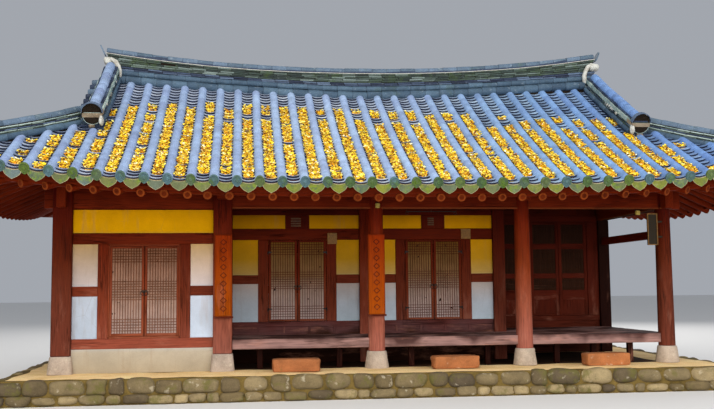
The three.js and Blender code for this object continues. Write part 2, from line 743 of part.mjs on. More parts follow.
// The window of the front room, measured from the left column's face
const WINDOW = { x0: 554, x1: 1679, z0: RAILS.sill[1], z1: RAILS.upper[0] };
const WINDOW_POSTS = { left: 390, right: 1840 };
const SASH = { stile: 55, middle: 35, low: 60, high: 45, sunk: 26 };

function addFrontWall() {
  const start = LINES[0] + SQUARE_COLUMN / 2;
  const length = BAY - SQUARE_COLUMN;
  const { x0, x1, z0, z1 } = WINDOW;
  const posts = [[WINDOW_POSTS.left, x0, z0, z1], [x1, WINDOW_POSTS.right, z0, z1]];
  const body = wall(length, [RAILS.sill, RAILS.middle, RAILS.upper], posts);
  const hole = block([x0, x1], [-100, 100], [z0, z1]);
  const room = SQUARE_STONE.foot / 2 + 1;
  const stones = [-SQUARE_COLUMN / 2, length + SQUARE_COLUMN / 2].map((x) => {
    return block([x - room, x + room], [-room, room], [PLATFORM_TOP - 1, STONE_TOP + 1]);
  });
  addPiece("wall_front_1", cut(body, hole, stones), PLASTER, [start, Y_FRONT, 0]);
  const frame = block([x0, x1], [-50, 20], [z0, z1]);
  const middle = (x0 + x1) / 2;
  const panes = [[x0 + SASH.stile, middle - SASH.middle], [middle + SASH.middle, x1 - SASH.stile]];
  const recesses = panes.map((pane) => block(pane, [-60, -SASH.sunk], [z0 + SASH.low, z1 - SASH.high]));
  addPiece("window_front_1", cut(frame, recesses), TIMBER, [start, Y_FRONT, 0]);
}

// Room for a square base stone at the front end of a wall that runs to the rear
function endStoneHole() {
  const reach = SQUARE_STONE.foot / 2 - SQUARE_COLUMN / 2 + 1;
  return block([-200, 200], [-400, reach], [PLATFORM_TOP - 1, STONE_TOP + 1]);
}

function addReturnWall() {
  const y0 = Y_FRONT + SQUARE_COLUMN / 2;
  const length = Y_MID - RETURN_POST_HALF - y0;
  const rails = [RAILS.sill, RAILS.middle, RAILS.upper, [BEAM_UNDER - 1, CROSS.low]];
  const body = wall(length, rails, []).rotate([0, 0, 90]);
  const post = postAt(0, length + RETURN_POST_HALF, HIGH_WALL_TOP, RETURN_POST_HALF);
  const whole = join(cut(body, endStoneHole()), post).translate([LINES[1], y0, 0]);
  addPiece("wall_return_2", cut(whole, crossHoles(Y_MID)), PLASTER);
}

// The walls behind the veranda: one piece on each side of a doorway, one over it and one under it
const MID_RAILS = {
  sill: [PLATFORM_TOP + 620, SILL_TOP],
  middle: [PLATFORM_TOP + 1385, PLATFORM_TOP + 1540],
  upper: [DOOR_HEAD, PLATFORM_TOP + 2360],
};

function sidePanel(x0, x1, jambLeft) {
  const deep = RAIL_DEPTH / 2;
  const thin = PLASTER_DEPTH / 2;
  const jamb = jambLeft ? [x0, x0 + JAMB_WIDTH] : [x1 - JAMB_WIDTH, x1];
  const height = [SILL_TOP, DOOR_HEAD];
  return join(
    block([x0, x1], [-thin, thin], height),
    block([x0, x1], [-deep, deep], MID_RAILS.middle),
    block(jamb, [-deep, deep], height),
  );
}

const HINGE_HEIGHTS = [SILL_TOP + 220, DOOR_HEAD - 220];
const span = (a, b) => [Math.min(a, b), Math.max(a, b)];

// The jamb's pins, each on a collar. Side is +1 where the leaf lies towards +X.
function hingePins(x, side) {
  const front = -RAIL_DEPTH / 2;
  const out = front - HINGE_AHEAD;
  return HINGE_HEIGHTS.map((height) => {
    const low = height - EYE_HEIGHT / 2;
    const across = span(x - side * COLLAR.back, x + side * COLLAR.front);
    const collar = block(across, [out - COLLAR.ahead, front + 1], [low - COLLAR.high, low - TOUCH]);
    return join(collar, bar([x, out, low - 10], [x, out, low + EYE_HEIGHT + 8], PIN_RADIUS, 10));
  });
}

function addMidBay(bay) {
  const left = bay === 2 ? LINES[1] + RETURN_POST_HALF : POST_HALF;
  const right = bay === 2 ? -POST_HALF : WALL_4 - POST_HALF;
  const centre = DOOR_CENTRES[bay];
  const [door0, door1] = [centre - DOOR_WIDTH / 2, centre + DOOR_WIDTH / 2];
  const place = [0, Y_MID, 0];
  const leftSide = join(sidePanel(left, door0, false), hingePins(door0 - HINGE_ASIDE, 1));
  const rightSide = join(sidePanel(door1, right, true), hingePins(door1 + HINGE_ASIDE, -1));
  addPiece("wall_mid_" + bay + "_left", leftSide, PLASTER, place);
  addPiece("wall_mid_" + bay + "_right", rightSide, PLASTER, place);
  const deep = RAIL_DEPTH / 2;
  const thin = PLASTER_DEPTH / 2;
  const over = join(
    block([left, right], [-thin, thin], [DOOR_HEAD, HIGH_WALL_TOP]),
    block([left, right], [-deep, deep], MID_RAILS.upper),
    block([left, right], [-deep, deep], [BEAM_UNDER, BEAM_UNDER + 180]),
    block([centre - OVER_DOOR_HALF, centre + OVER_DOOR_HALF], [-deep, deep], [DOOR_HEAD, BEAM_UNDER]),
  );
  addPiece("wall_mid_" + bay + "_over", over, PLASTER, place);
  const under = join(
    block([left, right], [-deep, deep], MID_RAILS.sill),
    block([left, right], [-thin, thin], [PLATFORM_TOP, MID_RAILS.sill[0]]),
  );
  addPiece("wall_mid_" + bay + "_under", under, TIMBER, place);
  addDoors(bay, door0, door1);
}

// A leaf hangs on two eyes round the pins of its jamb, and swings out over the veranda
function doorLeaf(width, side) {
  const back = HINGE_AHEAD + LEAF_THICK;
  const low = SILL_TOP + DOOR_CLEAR;
  const high = DOOR_HEAD - DOOR_CLEAR;
  const across = span(side * (HINGE_ASIDE + DOOR_CLEAR), side * width);
  const slab = block(across, [HINGE_AHEAD, back], [low, high]);
  const panel = span(side * PANEL.pinSide, side * (width - PANEL.meetingSide));
  const depth = [HINGE_AHEAD - 5, HINGE_AHEAD + PANEL.sunk];
  const glazed = block(panel, depth, [low + PANEL.ends, high - PANEL.ends]);
  const eyes = HINGE_HEIGHTS.map((z) => {
    const ends = [z - EYE_HEIGHT / 2, z + EYE_HEIGHT / 2];
    const round = bar([0, 0, ends[0]], [0, 0, ends[1]], EYE_RADIUS, 12);
    const neck = block(span(side * NECK.from, side * NECK.to), NECK.deep, ends);
    const strap = block(span(side * STRAP.from, side * STRAP.to), [STRAP.ahead, HINGE_AHEAD + 1], ends);
    return join(round, neck, strap);
  });
  const holes = HINGE_HEIGHTS.map((z) => bar([0, 0, z - 40], [0, 0, z + 40], EYE_HOLE, 12));
  return cut(join(cut(slab, glazed), eyes), holes);
}

function addDoors(bay, door0, door1) {
  const width = DOOR_WIDTH / 2 - DOOR_GAP / 2 + HINGE_ASIDE;
  const y = Y_MID - RAIL_DEPTH / 2 - HINGE_AHEAD;
  for (const [side, x, sign] of [["left", door0 - HINGE_ASIDE, 1], ["right", door1 + HINGE_ASIDE, -1]]) {
    const hinge = new THREE.Group();
    hinge.position.set(x, y, 0);
    const mesh = new THREE.Mesh(geometryOf(doorLeaf(width, sign)), TIMBER);
    mesh.name = "door_" + bay + "_" + side;
    hinge.add(mesh);
    house.add(hinge);
  }
}

// Walls round the deep corner floor, the two ends and the rear
const PLAIN_RAILS = [RAILS.sill, RAILS.middle, RAILS.upper];
const STILES = { first: 310, pitch: 585, count: 4, width: 60 };
const LOW_ATTIC = 600;
const END_RAIL = [BEAM_UNDER - 490, BEAM_UNDER - 350];

function addSideWall() {
  const rails = [...PLAIN_RAILS, [BEAM_UNDER - 1, CROSS.low]];
  const side = wall(2 * Y_BACK - POST_WIDTH, rails, []).rotate([0, 0, 90]);
  const placed = side.translate([WALL_4, Y_MID + POST_HALF, 0]);
  const posts = [Y_MID, Y_BACK].map((y) => postAt(WALL_4, y, HIGH_WALL_TOP));
  addPiece("wall_side_4", cut(join(placed, posts), crossHoles(Y_MID), crossHoles(Y_BACK)), PLASTER);
}

function addCornerBackWall() {
  const start = WALL_4 + POST_HALF;
  const length = LINES[4] - POST_HALF - start;
  const stiles = [[0, STILES.width], [length - STILES.width, length]];
  for (let i = 0; i < STILES.count; i++) {
    const x = STILES.first + i * STILES.pitch;
    stiles.push([x, x + STILES.width]);
  }
  const back = wall(length, [MID_RAILS.sill, MID_RAILS.upper], stiles);
  const thin = [-PLASTER_DEPTH / 2, PLASTER_DEPTH / 2];
  const low = block([0, length - 30], thin, [BEAM_UNDER - 1, BEAM_UNDER + LOW_ATTIC]);
  const high = block([0, GABLE_X - 20 - start], thin, [BEAM_UNDER - 1, HIGH_WALL_TOP]);
  const whole = join(back, low, high).translate([start, Y_BACK, 0]);
  addPiece("wall_back_4", cut(whole, crossHoles(Y_BACK)), TIMBER);
}

function addEndWalls() {
  const rearHalf = REAR_POST / 2;
  const from = Y_FRONT + SQUARE_COLUMN / 2;
  const posts = [Y_MID, Y_BACK].map((y) => [y - from - POST_HALF, y - from + POST_HALF]);
  const left = wall(Y_REAR - rearHalf - from, PLAIN_RAILS, posts).rotate([0, 0, 90]);
  addPiece("wall_left", cut(left, endStoneHole()), PLASTER, [LINES[0], from, 0]);

  const rightFrom = Y_BACK + POST_HALF;
  const right = wall(Y_REAR - rearHalf - rightFrom, PLAIN_RAILS, []).rotate([0, 0, 90]);
  const rightPost = postAt(0, Y_BACK, BEAM_UNDER);
  addPiece("wall_right", join(right.translate([0, rightFrom, 0]), rightPost), PLASTER, [LINES[4], 0, 0]);

  const rail = block([-50, 50], [Y_FRONT + ROUND_FOOT / 2 + 1, Y_BACK - POST_HALF], END_RAIL);
  addPiece("side_rail_5", rail, TIMBER, [LINES[4], 0, 0]);
}

function addRearWall() {
  const rear = wall(4 * BAY, PLAIN_RAILS, []).translate([LINES[0], 0, 0]);
  const posts = LINES.map((x) => rearPost(x).translate([0, -Y_REAR, 0]));
  addPiece("wall_rear", cut(join(rear, posts), crossHoles(0)), PLASTER, [0, Y_REAR, 0]);
}

addBase();
addColumns();
addBeams();
addFloors();
addFrontWall();
addReturnWall();
addMidBay(2);
addMidBay(3);
addSideWall();
addCornerBackWall();
addEndWalls();
addRearWall();
addRidges(addRoof());

export default house;
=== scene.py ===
# The looks of a Korean tiled house, in metres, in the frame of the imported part.
# +X runs along the front, +Y into the depth, +Z up, and Z = 0 is the level ground.
import functools
import math

import bpy
import numpy as np
from mathutils import Matrix, Vector


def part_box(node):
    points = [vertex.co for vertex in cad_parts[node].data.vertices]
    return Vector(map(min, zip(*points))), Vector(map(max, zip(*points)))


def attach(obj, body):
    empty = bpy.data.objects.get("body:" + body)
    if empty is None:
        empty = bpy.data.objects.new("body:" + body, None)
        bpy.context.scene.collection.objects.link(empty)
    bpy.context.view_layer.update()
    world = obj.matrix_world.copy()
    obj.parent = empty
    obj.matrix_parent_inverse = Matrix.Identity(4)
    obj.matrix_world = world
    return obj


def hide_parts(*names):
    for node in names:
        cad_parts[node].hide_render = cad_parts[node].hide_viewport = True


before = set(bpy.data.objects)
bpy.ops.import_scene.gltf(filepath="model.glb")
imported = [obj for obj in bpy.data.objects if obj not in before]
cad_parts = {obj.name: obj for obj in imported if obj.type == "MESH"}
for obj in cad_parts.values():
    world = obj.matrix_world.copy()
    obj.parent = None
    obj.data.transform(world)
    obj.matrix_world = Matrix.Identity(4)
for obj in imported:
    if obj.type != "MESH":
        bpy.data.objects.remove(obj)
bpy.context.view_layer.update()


def pair(name, axis):
    """The low and high place of a part along one axis."""
    low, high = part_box(name)
    return low[axis], high[axis]


# Plan of the frame, read from the parts
COLUMNS = [sum(pair(f"column_front_{line}", 0)) / 2 for line in range(1, 6)]
Y_FRONT = sum(pair("column_front_1", 1)) / 2
Y_MID = sum(pair("wall_mid_2_over", 1)) / 2
Y_BACK = -Y_MID
Y_REAR = -Y_FRONT
WALL_4 = sum(pair("wall_side_4", 0)) / 2
PLATFORM_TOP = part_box("stone_platform")[1][2]
STONE_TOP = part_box("base_stone_1")[1][2]
FLOOR_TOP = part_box("veranda_floor")[1][2]
ROOM_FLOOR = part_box("room_floor")[1][2]
BEAM_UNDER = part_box("head_beam_front")[0][2]
COLUMN_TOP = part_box("column_front_3")[1][2]
HIGH_WALL_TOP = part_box("wall_mid_2_over")[1][2]

# Levels above the platform
SILL_TOP = PLATFORM_TOP + 0.72
DOOR_HEAD = PLATFORM_TOP + 2.16
RAIL_DEPTH = 0.12
PLASTER_DEPTH = 0.084
POST = 0.22
WIDE_POST = 0.145
SQUARE_COLUMN = 0.3
REAR_POST = 0.24

# Roof form
ROOF_X = 6.75
ROOF_Y = 3.95
HIP_SHIFT = ROOF_X - ROOF_Y
GABLE_X = 4.5
VERGE_X = 4.7
EAVE_TOP = PLATFORM_TOP + 2.785
ROOF_RISE = 2.065
ROOF_RUN = 3.86
ROOF_SAG = 0.14
EAVE_LIFT = 0.46
RIDGE_LIFT = 0.185
CORNER_OUT = 0.08
RAFTER_TOP = PLATFORM_TOP + 2.65
RAFTER_START = 0.26
RAFTER_TIP = RAFTER_START - 0.02
RAFTER_SLOPE = 0.42
RAFTER_RUN = 3.27
UPPER_SLOPE = 0.8
RAFTER_RADIUS = 0.062
RAFTER_PITCH = 0.313
RAFTER_SINK = 0.012
RIDGE_TOP = PLATFORM_TOP + 5.465
RIDGE_TIP_LIFT = 0.338
RIDGE_LEAN = 0.0085
RIDGE_HALF = 4.7
DESCENT_X = 4.55
DESCENT_END = 2.4
CORNERS = {"front_left": (-1, -1), "rear_left": (-1, 1), "front_right": (1, -1), "rear_right": (1, 1)}

# Every timber takes its grain from its own place in the pattern
GRAIN_SPREAD = 40
draw = np.random.default_rng(27)


# Meshes are gathered from closed shells
class Piece:
    """Closed shells in one mesh. Each point has a tone, a mark and a place along its own member's grain."""

    def __init__(self):
        self.points, self.faces, self.kinds = [], [], []
        self.tones, self.marks, self.grains = [], [], []
        self.count = 0

    def add(self, points, faces, tone=None, mark=0.0, grain=None, kind=0):
        """One shell. Faces is a list of rows of point numbers, and they are turned to face out."""
        points = np.asarray(points, float).reshape(1, -1, 3)
        self.copies(points, faces, tone, mark, points if grain is None else np.asarray(grain, float), kind)

    def copies(self, points, faces, tone=None, mark=0.0, grain=None, kind=0):
        """Many shells of one pattern: points has a row of points for each copy."""
        many, size = points.shape[:2]
        faces = [np.atleast_2d(np.asarray(group, int)) for group in faces]
        kinds = kind if isinstance(kind, list) else [kind] * len(faces)
        if volume(points[0], faces) < 0:
            faces = [group[:, ::-1] for group in faces]
        starts = self.count + size * np.arange(many)
        for group, group_kind in zip(faces, kinds):
            whole = (group[None] + starts[:, None, None]).reshape(-1, group.shape[1])
            self.faces.append(whole)
            self.kinds.append(np.full(len(whole), group_kind))
        tone = draw.random(many) if tone is None else tone
        self.points.append(points.reshape(-1, 3))
        self.tones.append(np.repeat(np.broadcast_to(tone, many), size))
        mark = np.reshape(mark, (-1, size)) if np.size(mark) > 1 else mark
        self.marks.append(np.broadcast_to(mark, (many, size)))
        self.grains.append((points if grain is None else grain).reshape(-1, 3))
        self.count += many * size

    def build(self, name, looks, slot, body="house", replaces=(), sharp=38):
        """The finished object, riding on its body. Looks is one name of a material, or several."""
        mesh = bpy.data.meshes.new(name)
        points = np.concatenate(self.points)
        loops = np.concatenate([group.ravel() for group in self.faces])
        sizes = np.concatenate([np.full(len(group), group.shape[1]) for group in self.faces])
        mesh.vertices.add(len(points))
        mesh.vertices.foreach_set("co", points.ravel())
        mesh.loops.add(len(loops))
        mesh.loops.foreach_set("vertex_index", loops.astype(np.int32))
        mesh.polygons.add(len(sizes))
        starts = np.concatenate([[0], np.cumsum(sizes)[:-1]])
        mesh.polygons.foreach_set("loop_start", starts.astype(np.int32))
        mesh.polygons.foreach_set("material_index", np.concatenate(self.kinds).astype(np.int32))
        mesh.polygons.foreach_set("use_smooth", np.ones(len(sizes), bool))
        layers = (
            ("tone", "FLOAT", "value", self.tones), ("mark", "FLOAT", "value", self.marks),
            ("grain", "FLOAT_VECTOR", "vector", self.grains),
        )
        for key, sort, field, values in layers:
            values = np.concatenate([part.ravel() for part in values])
            mesh.attributes.new(key, sort, "POINT").data.foreach_set(field, values.astype(np.float32))
        mesh.update(calc_edges=True)
        mesh.validate()
        mesh.set_sharp_from_angle(angle=math.radians(sharp))
        for key in looks.split():
            mesh.materials.append(MATERIALS[key])
        thing = bpy.data.objects.new(name, mesh)
        bpy.context.scene.collection.objects.link(thing)
        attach(thing, body)
        if replaces:
            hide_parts(*replaces)


def volume(points, faces):
    """Six times the volume inside a closed shell, negative when its faces point in."""
    total = 0.0
    for group in faces:
        for corner in range(1, group.shape[1] - 1):
            a = points[group[:, 0]]
            b = points[group[:, corner]]
            c = points[group[:, corner + 1]]
            total += np.einsum("ij,ij->", a, np.cross(b, c))
    return total


def ring_faces(rings, count):
    """Quads between rings of points, and a flat cap at each end."""
    number = np.arange(count)
    after = (number + 1) % count
    sides = []
    for ring in range(rings - 1):
        low = ring * count
        sides.append(np.stack([low + number, low + after, low + count + after, low + count + number], 1))
    first = number[::-1][None]
    last = (rings - 1) * count + number[None]
    return [np.concatenate(sides), first, last]


def strip_faces(rings, count):
    """As ring_faces, for a section that is a thin strip: its caps are quads between its two long sides."""
    half = count // 2
    step = np.arange(half - 1)
    cap = np.stack([step, step + 1, count - 2 - step, count - 1 - step], 1)
    sides = ring_faces(rings, count)[0]
    return [sides, cap[:, ::-1], cap + (rings - 1) * count]


def shares(start, end, size, least=1):
    """How many parts of about this size fill a stretch, and their true size."""
    count = max(least, round((end - start) / size))
    return count, (end - start) / count


def loft(piece, rings, tone=None, mark=0.0, grain=None, kind=0):
    """A closed shell over rings of points."""
    rings = np.asarray(rings, float)
    piece.add(rings, ring_faces(len(rings), rings.shape[1]), tone, mark, grain, kind)


def tube(piece, rings, kind):
    """A ring-shaped shell: its last ring joins the first."""
    rings = np.array(rings)
    count, sides = rings.shape[:2]
    number = np.arange(sides)
    after = (number + 1) % sides
    faces = []
    for ring in range(count):
        here, there = ring * sides, (ring + 1) % count * sides
        faces.append(np.stack([here + number, here + after, there + after, there + number], 1))
    piece.add(rings, [np.concatenate(faces)], kind=kind)


def slab(piece, upper, lower, tone, shape, kinds, parted=None):
    """A thin body between two grids of points. Parted marks the upper quads of the second kind."""
    size = len(upper)
    index = np.arange(size).reshape(shape)
    quads = np.stack([index[:-1, :-1], index[1:, :-1], index[1:, 1:], index[:-1, 1:]], -1).reshape(-1, 4)
    border = np.array([*index[:, 0], *index[-1, 1:], *index[-2::-1, -1], *index[0, -2:0:-1]])
    after = np.roll(border, -1)
    edge = np.stack([after, border, border + size, after + size], 1)
    tops = [quads]
    if parted is not None:
        second = parted(upper[quads].mean(axis=1))
        tops = [quads[~second], quads[second]]
    piece.add(np.vstack([upper, lower]), [*tops, quads[:, ::-1] + size, edge], tone, kind=kinds)


def bar(piece, low, high, axis=0, chamfer=0.006, tone=None, mark=0.0, kind=0):
    """A squared timber between two corners, with its long edges eased. Its grain runs along the axis."""
    low, high = np.minimum(low, high), np.maximum(low, high)
    across = [(axis + 1) % 3, (axis + 2) % 3]
    half = (high - low)[across] / 2
    middle = (high + low)[across] / 2
    ease = min(chamfer, 0.3 * half.min())
    inner = half - ease
    outline = [
        (half[0], -inner[1]), (half[0], inner[1]), (inner[0], half[1]), (-inner[0], half[1]),
        (-half[0], inner[1]), (-half[0], -inner[1]), (-inner[0], -half[1]), (inner[0], -half[1]),
    ]
    section = np.array(outline)
    ends = [low[axis], low[axis] + ease, high[axis] - ease, high[axis]]
    rings = np.zeros((4, 8, 3))
    for index, end in enumerate(ends):
        shrink = 1 - ease / half if index in (0, 3) else np.ones(2)
        rings[index][:, axis] = end
        rings[index][:, across] = middle + section * shrink
    own = rings[..., [axis] + across] - np.array([low[axis], *middle])
    grain = own + draw.random(3) * GRAIN_SPREAD
    loft(piece, rings, tone, mark, grain, kind)


def full_turn(sides):
    """Angles evenly round a circle."""
    return np.linspace(0, 2 * math.pi, sides, endpoint=False)


def around(sides, first, second):
    """Unit points round a circle, from its sideways and its upward direction."""
    turn = full_turn(sides)
    return np.outer(np.cos(turn), first) + np.outer(np.sin(turn), second)


def directions(start, end, up=(0, 0, 1)):
    """Unit vectors along a line, across it and upwards from it."""
    along = np.asarray(end, float) - np.asarray(start, float)
    length = np.linalg.norm(along)
    along = along / length
    across = np.cross(along, up)
    across /= np.linalg.norm(across)
    return along, across, np.cross(across, along), length


def pole(
    piece, start, end, radius, head=None, sides=16, steps=1, tone=None, mark=0.0, kind=0, up=(0, 0, 1),
):
    """A round timber between two points, with its ends slightly eased."""
    along, across, above, length = directions(start, end, up)
    head = radius if head is None else head
    turn = full_turn(sides)
    circle = around(sides, across, above)
    ease = min(0.006, 0.1 * radius)
    places = [0, ease, *np.linspace(0, length, steps + 1)[1:-1], length - ease, length]
    rings = []
    grain = []
    offset = draw.random(3) * GRAIN_SPREAD
    for index, place in enumerate(places):
        size = radius + (head - radius) * place / length
        if index in (0, len(places) - 1):
            size -= ease
        rings.append(np.asarray(start) + along * place + circle * size)
        own = np.stack([np.full(sides, place), np.cos(turn) * size, np.sin(turn) * size], 1)
        grain.append(own + offset)
    loft(piece, rings, tone, mark, grain, kind)


def stone(piece, centre, half, power, cells, rough, kind=0):
    """A worn block: a cube's skin pulled towards a rounded box, with a few soft hollows."""
    points, faces = cube_skin(cells)
    length = (np.abs(points) ** power).sum(1) ** (1 / power)
    shape = points / length[:, None]
    waves = draw.normal(size=(3, 4))
    phase = draw.random(4) * 6
    swell = np.sin(shape @ waves * 1.9 + phase).sum(1) * rough
    shape = shape * (1 + swell)[:, None] * half
    piece.add(shape + centre, [faces], mark=np.abs(points).min(1), kind=kind)


@functools.cache
def cube_skin(cells):
    """The points and quads of a cube's skin, with its shared edges merged."""
    steps = np.linspace(-1, 1, cells + 1)
    keys = {}
    faces = []

    def number(point):
        return keys.setdefault(tuple(np.round(point, 6)), len(keys))

    for axis in range(3):
        for side in (-1, 1):
            for i in range(cells):
                for j in range(cells):
                    corners = []
                    for u, v in ((i, j), (i + 1, j), (i + 1, j + 1), (i, j + 1)):
                        point = np.zeros(3)
                        point[axis] = side
                        point[(axis + 1) % 3] = steps[u]
                        point[(axis + 2) % 3] = steps[v]
                        corners.append(number(point))
                    faces.append(corners if side > 0 else corners[::-1])
    return np.array(list(keys)), np.array(faces)


# Materials
def tint(red, green, blue, gain=1.0):
    """A display colour from 0 to 255 as a linear colour."""
    channels = []
    for value in (red, green, blue):
        part = value / 255
        linear = part / 12.92 if part < 0.04045 else ((part + 0.055) / 1.055) ** 2.4
        channels.append(min(linear * gain, 0.95))
    return (*channels, 1.0)


class Finish:
    """A material's nodes: each method adds one node and returns its output."""

    def __init__(self, name, roughness=0.8, specular=0.3):
        self.material = bpy.data.materials.new(name)
        self.material.use_nodes = True
        self.tree = self.material.node_tree
        self.shader = self.tree.nodes["Principled BSDF"]
        self.shader.inputs["Roughness"].default_value = roughness
        self.shader.inputs["Specular IOR Level"].default_value = specular
        self.place = self.node("TexCoord", "Object")
        self.grain = self.node("Attribute", "Vector", attribute_name="grain")
        self.tone = self.node("Attribute", "Fac", attribute_name="tone")
        self.mark = self.node("Attribute", "Fac", attribute_name="mark")

    def node(self, sort, output, inputs=None, **settings):
        """A new node: its inputs are numbers, colours or the outputs of other nodes."""
        node = self.tree.nodes.new("ShaderNode" + sort)
        for key, value in settings.items():
            setattr(node, key, value)
        for key, value in (inputs or {}).items():
            self.link(value, node.inputs[key])
        return node.outputs[output]

    def link(self, source, target):
        if isinstance(source, bpy.types.NodeSocket):
            self.tree.links.new(source, target)
        else:
            target.default_value = source

    def math(self, operation, *values):
        return self.node("Math", 0, dict(enumerate(values)), operation=operation)

    def stretch(self, vector, scale):
        return self.node("VectorMath", 0, {0: vector, 1: scale}, operation="MULTIPLY")

    def noise(self, scale, vector=None, detail=4.0, rough=0.55, distortion=0.0):
        inputs = {"Vector": vector or self.place, "Scale": scale, "Detail": detail}
        inputs |= {"Roughness": rough, "Distortion": distortion}
        return self.node("TexNoise", "Fac", inputs)

    def cells(self, scale, output="Distance", feature="F1"):
        return self.node("TexVoronoi", output, {"Vector": self.place, "Scale": scale}, feature=feature)

    def ramp(self, factor, *stops):
        """Grey levels or colours at places along a factor."""
        node = self.node("ValToRGB", 0, {"Fac": factor}).node
        marks = node.color_ramp.elements
        while len(marks) < len(stops):
            marks.new(0.5)
        for mark, (position, colour) in zip(marks, stops):
            mark.position = position
            mark.color = colour if isinstance(colour, tuple) else (colour, colour, colour, 1)
        return node.outputs["Color"]

    def mix(self, factor, first, second, blend="MIX"):
        return self.node("Mix", 2, {0: factor, 6: first, 7: second}, data_type="RGBA", blend_type=blend)

    def shade(self, base, pattern, *stops):
        """The base times a pattern's grey levels."""
        return self.mix(1.0, base, self.ramp(pattern, *stops), "MULTIPLY")

    def vary(self, base, amount):
        """Each member a little lighter or darker than the next."""
        return self.shade(base, self.tone, (0.0, 1 - amount), (1.0, 1.0))

    def stain(self, base, pattern, amount, colour):
        """A colour laid over the base where a pattern is high."""
        return self.mix(self.math("MULTIPLY", pattern, amount), base, colour)

    def tones(self, stops):
        """A ramp over the pieces' own tones. Stops are places and display colours."""
        return self.ramp(self.tone, *[(place, tint(*colour)) for place, *colour in stops])

    def levels(self, height, top, stops, gain=1.0):
        """A ramp over the height above the ground. Stops are heights and display colours."""
        marks = [(min(z / top, 1.0), tint(*colour, gain)) for z, *colour in stops]
        return self.ramp(self.math("MULTIPLY", height, 1 / top), *marks)

    def between(self, value, low, high):
        """0 below low and 1 above high, with a smooth step between."""
        inputs = {"Value": value, "From Min": low, "From Max": high}
        return self.node("MapRange", "Result", inputs, interpolation_type="SMOOTHSTEP")

    def axis(self, index, vector=None):
        return self.node("SeparateXYZ", index, {0: vector or self.place})

    def done(self, base, rough=(), bump=()):
        """Joins the colour, a pattern of roughness and layers of raised detail to the shader."""
        self.link(base, self.shader.inputs["Base Color"])
        if rough:
            pattern, low, high = rough
            level = self.node("MapRange", "Result", {"Value": pattern, "To Min": low, "To Max": high})
            self.link(level, self.shader.inputs["Roughness"])
        normal = None
        for pattern, depth in bump:
            inputs = {"Strength": 1.0, "Distance": depth, "Height": pattern}
            if normal is not None:
                inputs["Normal"] = normal
            normal = self.node("Bump", "Normal", inputs)
        self.link(normal, self.shader.inputs["Normal"])
        return self.material


def timber(name, stops, dark=0.45, checks=0.6, gain=1.0):
    """Painted timber. Stops are heights above the ground and colours. The darkening up toward the eaves is
    partly painted shade; the paler colour low down is partly real fading.
    """
    look = Finish(name, 0.62, 0.05)
    height = look.axis(2)
    wander = look.math("MULTIPLY_ADD", look.noise(1.3, detail=3), 0.7, height)
    base = look.levels(look.math("SUBTRACT", wander, 0.35), 4.0, stops, gain)
    fibre = look.noise(9.0, look.stretch(look.grain, (0.35, 6, 6)), 6, 0.65)
    base = look.shade(base, fibre, (0.28, 1 - dark), (0.5, 0.95), (0.74, 1.25))
    faded = look.between(look.noise(2.2, look.stretch(look.grain, (0.5, 2, 2)), 5, 0.7), 0.52, 0.74)
    low_down = look.math("SUBTRACT", 1.0, look.between(height, 0.9, 2.3))
    base = look.stain(base, faded, low_down, look.mix(0.42, base, tint(196, 132, 108, gain)))
    base = look.vary(base, 0.28)
    crack = look.noise(6.0, look.stretch(look.grain, (0.22, 9, 9)), 2, 0.4, 0.4)
    line = look.ramp(crack, (0.47, 0.0), (0.492, 1.0), (0.508, 1.0), (0.53, 0.0))
    where = look.between(look.noise(1.7, look.stretch(look.grain, (0.6, 2, 2)), 2), 0.5, 0.64)
    crack = look.math("MULTIPLY", line, where)
    base = look.stain(base, crack, checks, tint(30, 12, 8))
    # Marked places are lightened: along the head beams' lip this is a painted highlight, and the rafter ends
    # get a lighter rim.
    base = look.stain(base, look.mark, 0.8, tint(150, 84, 46, gain))
    groove = look.math("MULTIPLY", crack, -1.0)
    return look.done(base, (fibre, 0.5, 0.82), [(fibre, 0.004), (groove, 0.008)])


def plaster(name, stops, gain=1.0):
    """Lime plaster whose colour follows the height above the ground: partly its own colour, partly painted
    light, with a cool cast low down, a warm yellow cast higher up and painted shade near the eaves.
    """
    look = Finish(name, 0.88, 0.06)
    base = look.levels(look.axis(2), 4.2, stops, gain)
    cloud = look.noise(2.6, detail=6, rough=0.6)
    base = look.shade(base, cloud, (0.3, 0.86), (0.7, 1.06))
    runs = look.noise(7.0, look.stretch(look.place, (1.0, 1.0, 0.12)), 5, 0.6)
    base = look.stain(base, look.between(runs, 0.55, 0.75), 0.28, tint(150, 118, 86, gain))
    fine = look.noise(60, detail=5, rough=0.7)
    base = look.shade(base, fine, (0.3, 0.93), (0.7, 1.04))
    # The panel's tone makes it darker or lighter: on the front wall this is painted light, a darker left
    # panel and a lighter right one.
    base = look.shade(base, look.tone, (0.0, 0.8), (0.5, 1.0), (1.0, 1.2))
    split = look.ramp(look.cells(2.4, feature="DISTANCE_TO_EDGE"), (0.0, 1.0), (0.006, 0.0))
    hair = look.math("MULTIPLY", split, look.between(cloud, 0.5, 0.62))
    base = look.stain(base, hair, 0.45, tint(110, 92, 74, gain))
    return look.done(base, bump=[(cloud, 0.006), (fine, 0.0015)])


# How the roof's light falls off from the left end to the right end
LIGHT_FALLOFF_REACH = 6.8
ROOF_LIGHT_FALLOFF = [
    (0.0, (0.74, 0.76, 0.82, 1.0)), (0.25, (0.84, 0.85, 0.88, 1.0)), (0.4, (1.0, 1.0, 1.0, 1.0)),
    (0.6, (0.88, 0.92, 0.96, 1.0)), (0.79, (0.6, 0.76, 0.88, 1.0)), (1.0, (0.4, 0.57, 0.85, 1.0)),
]


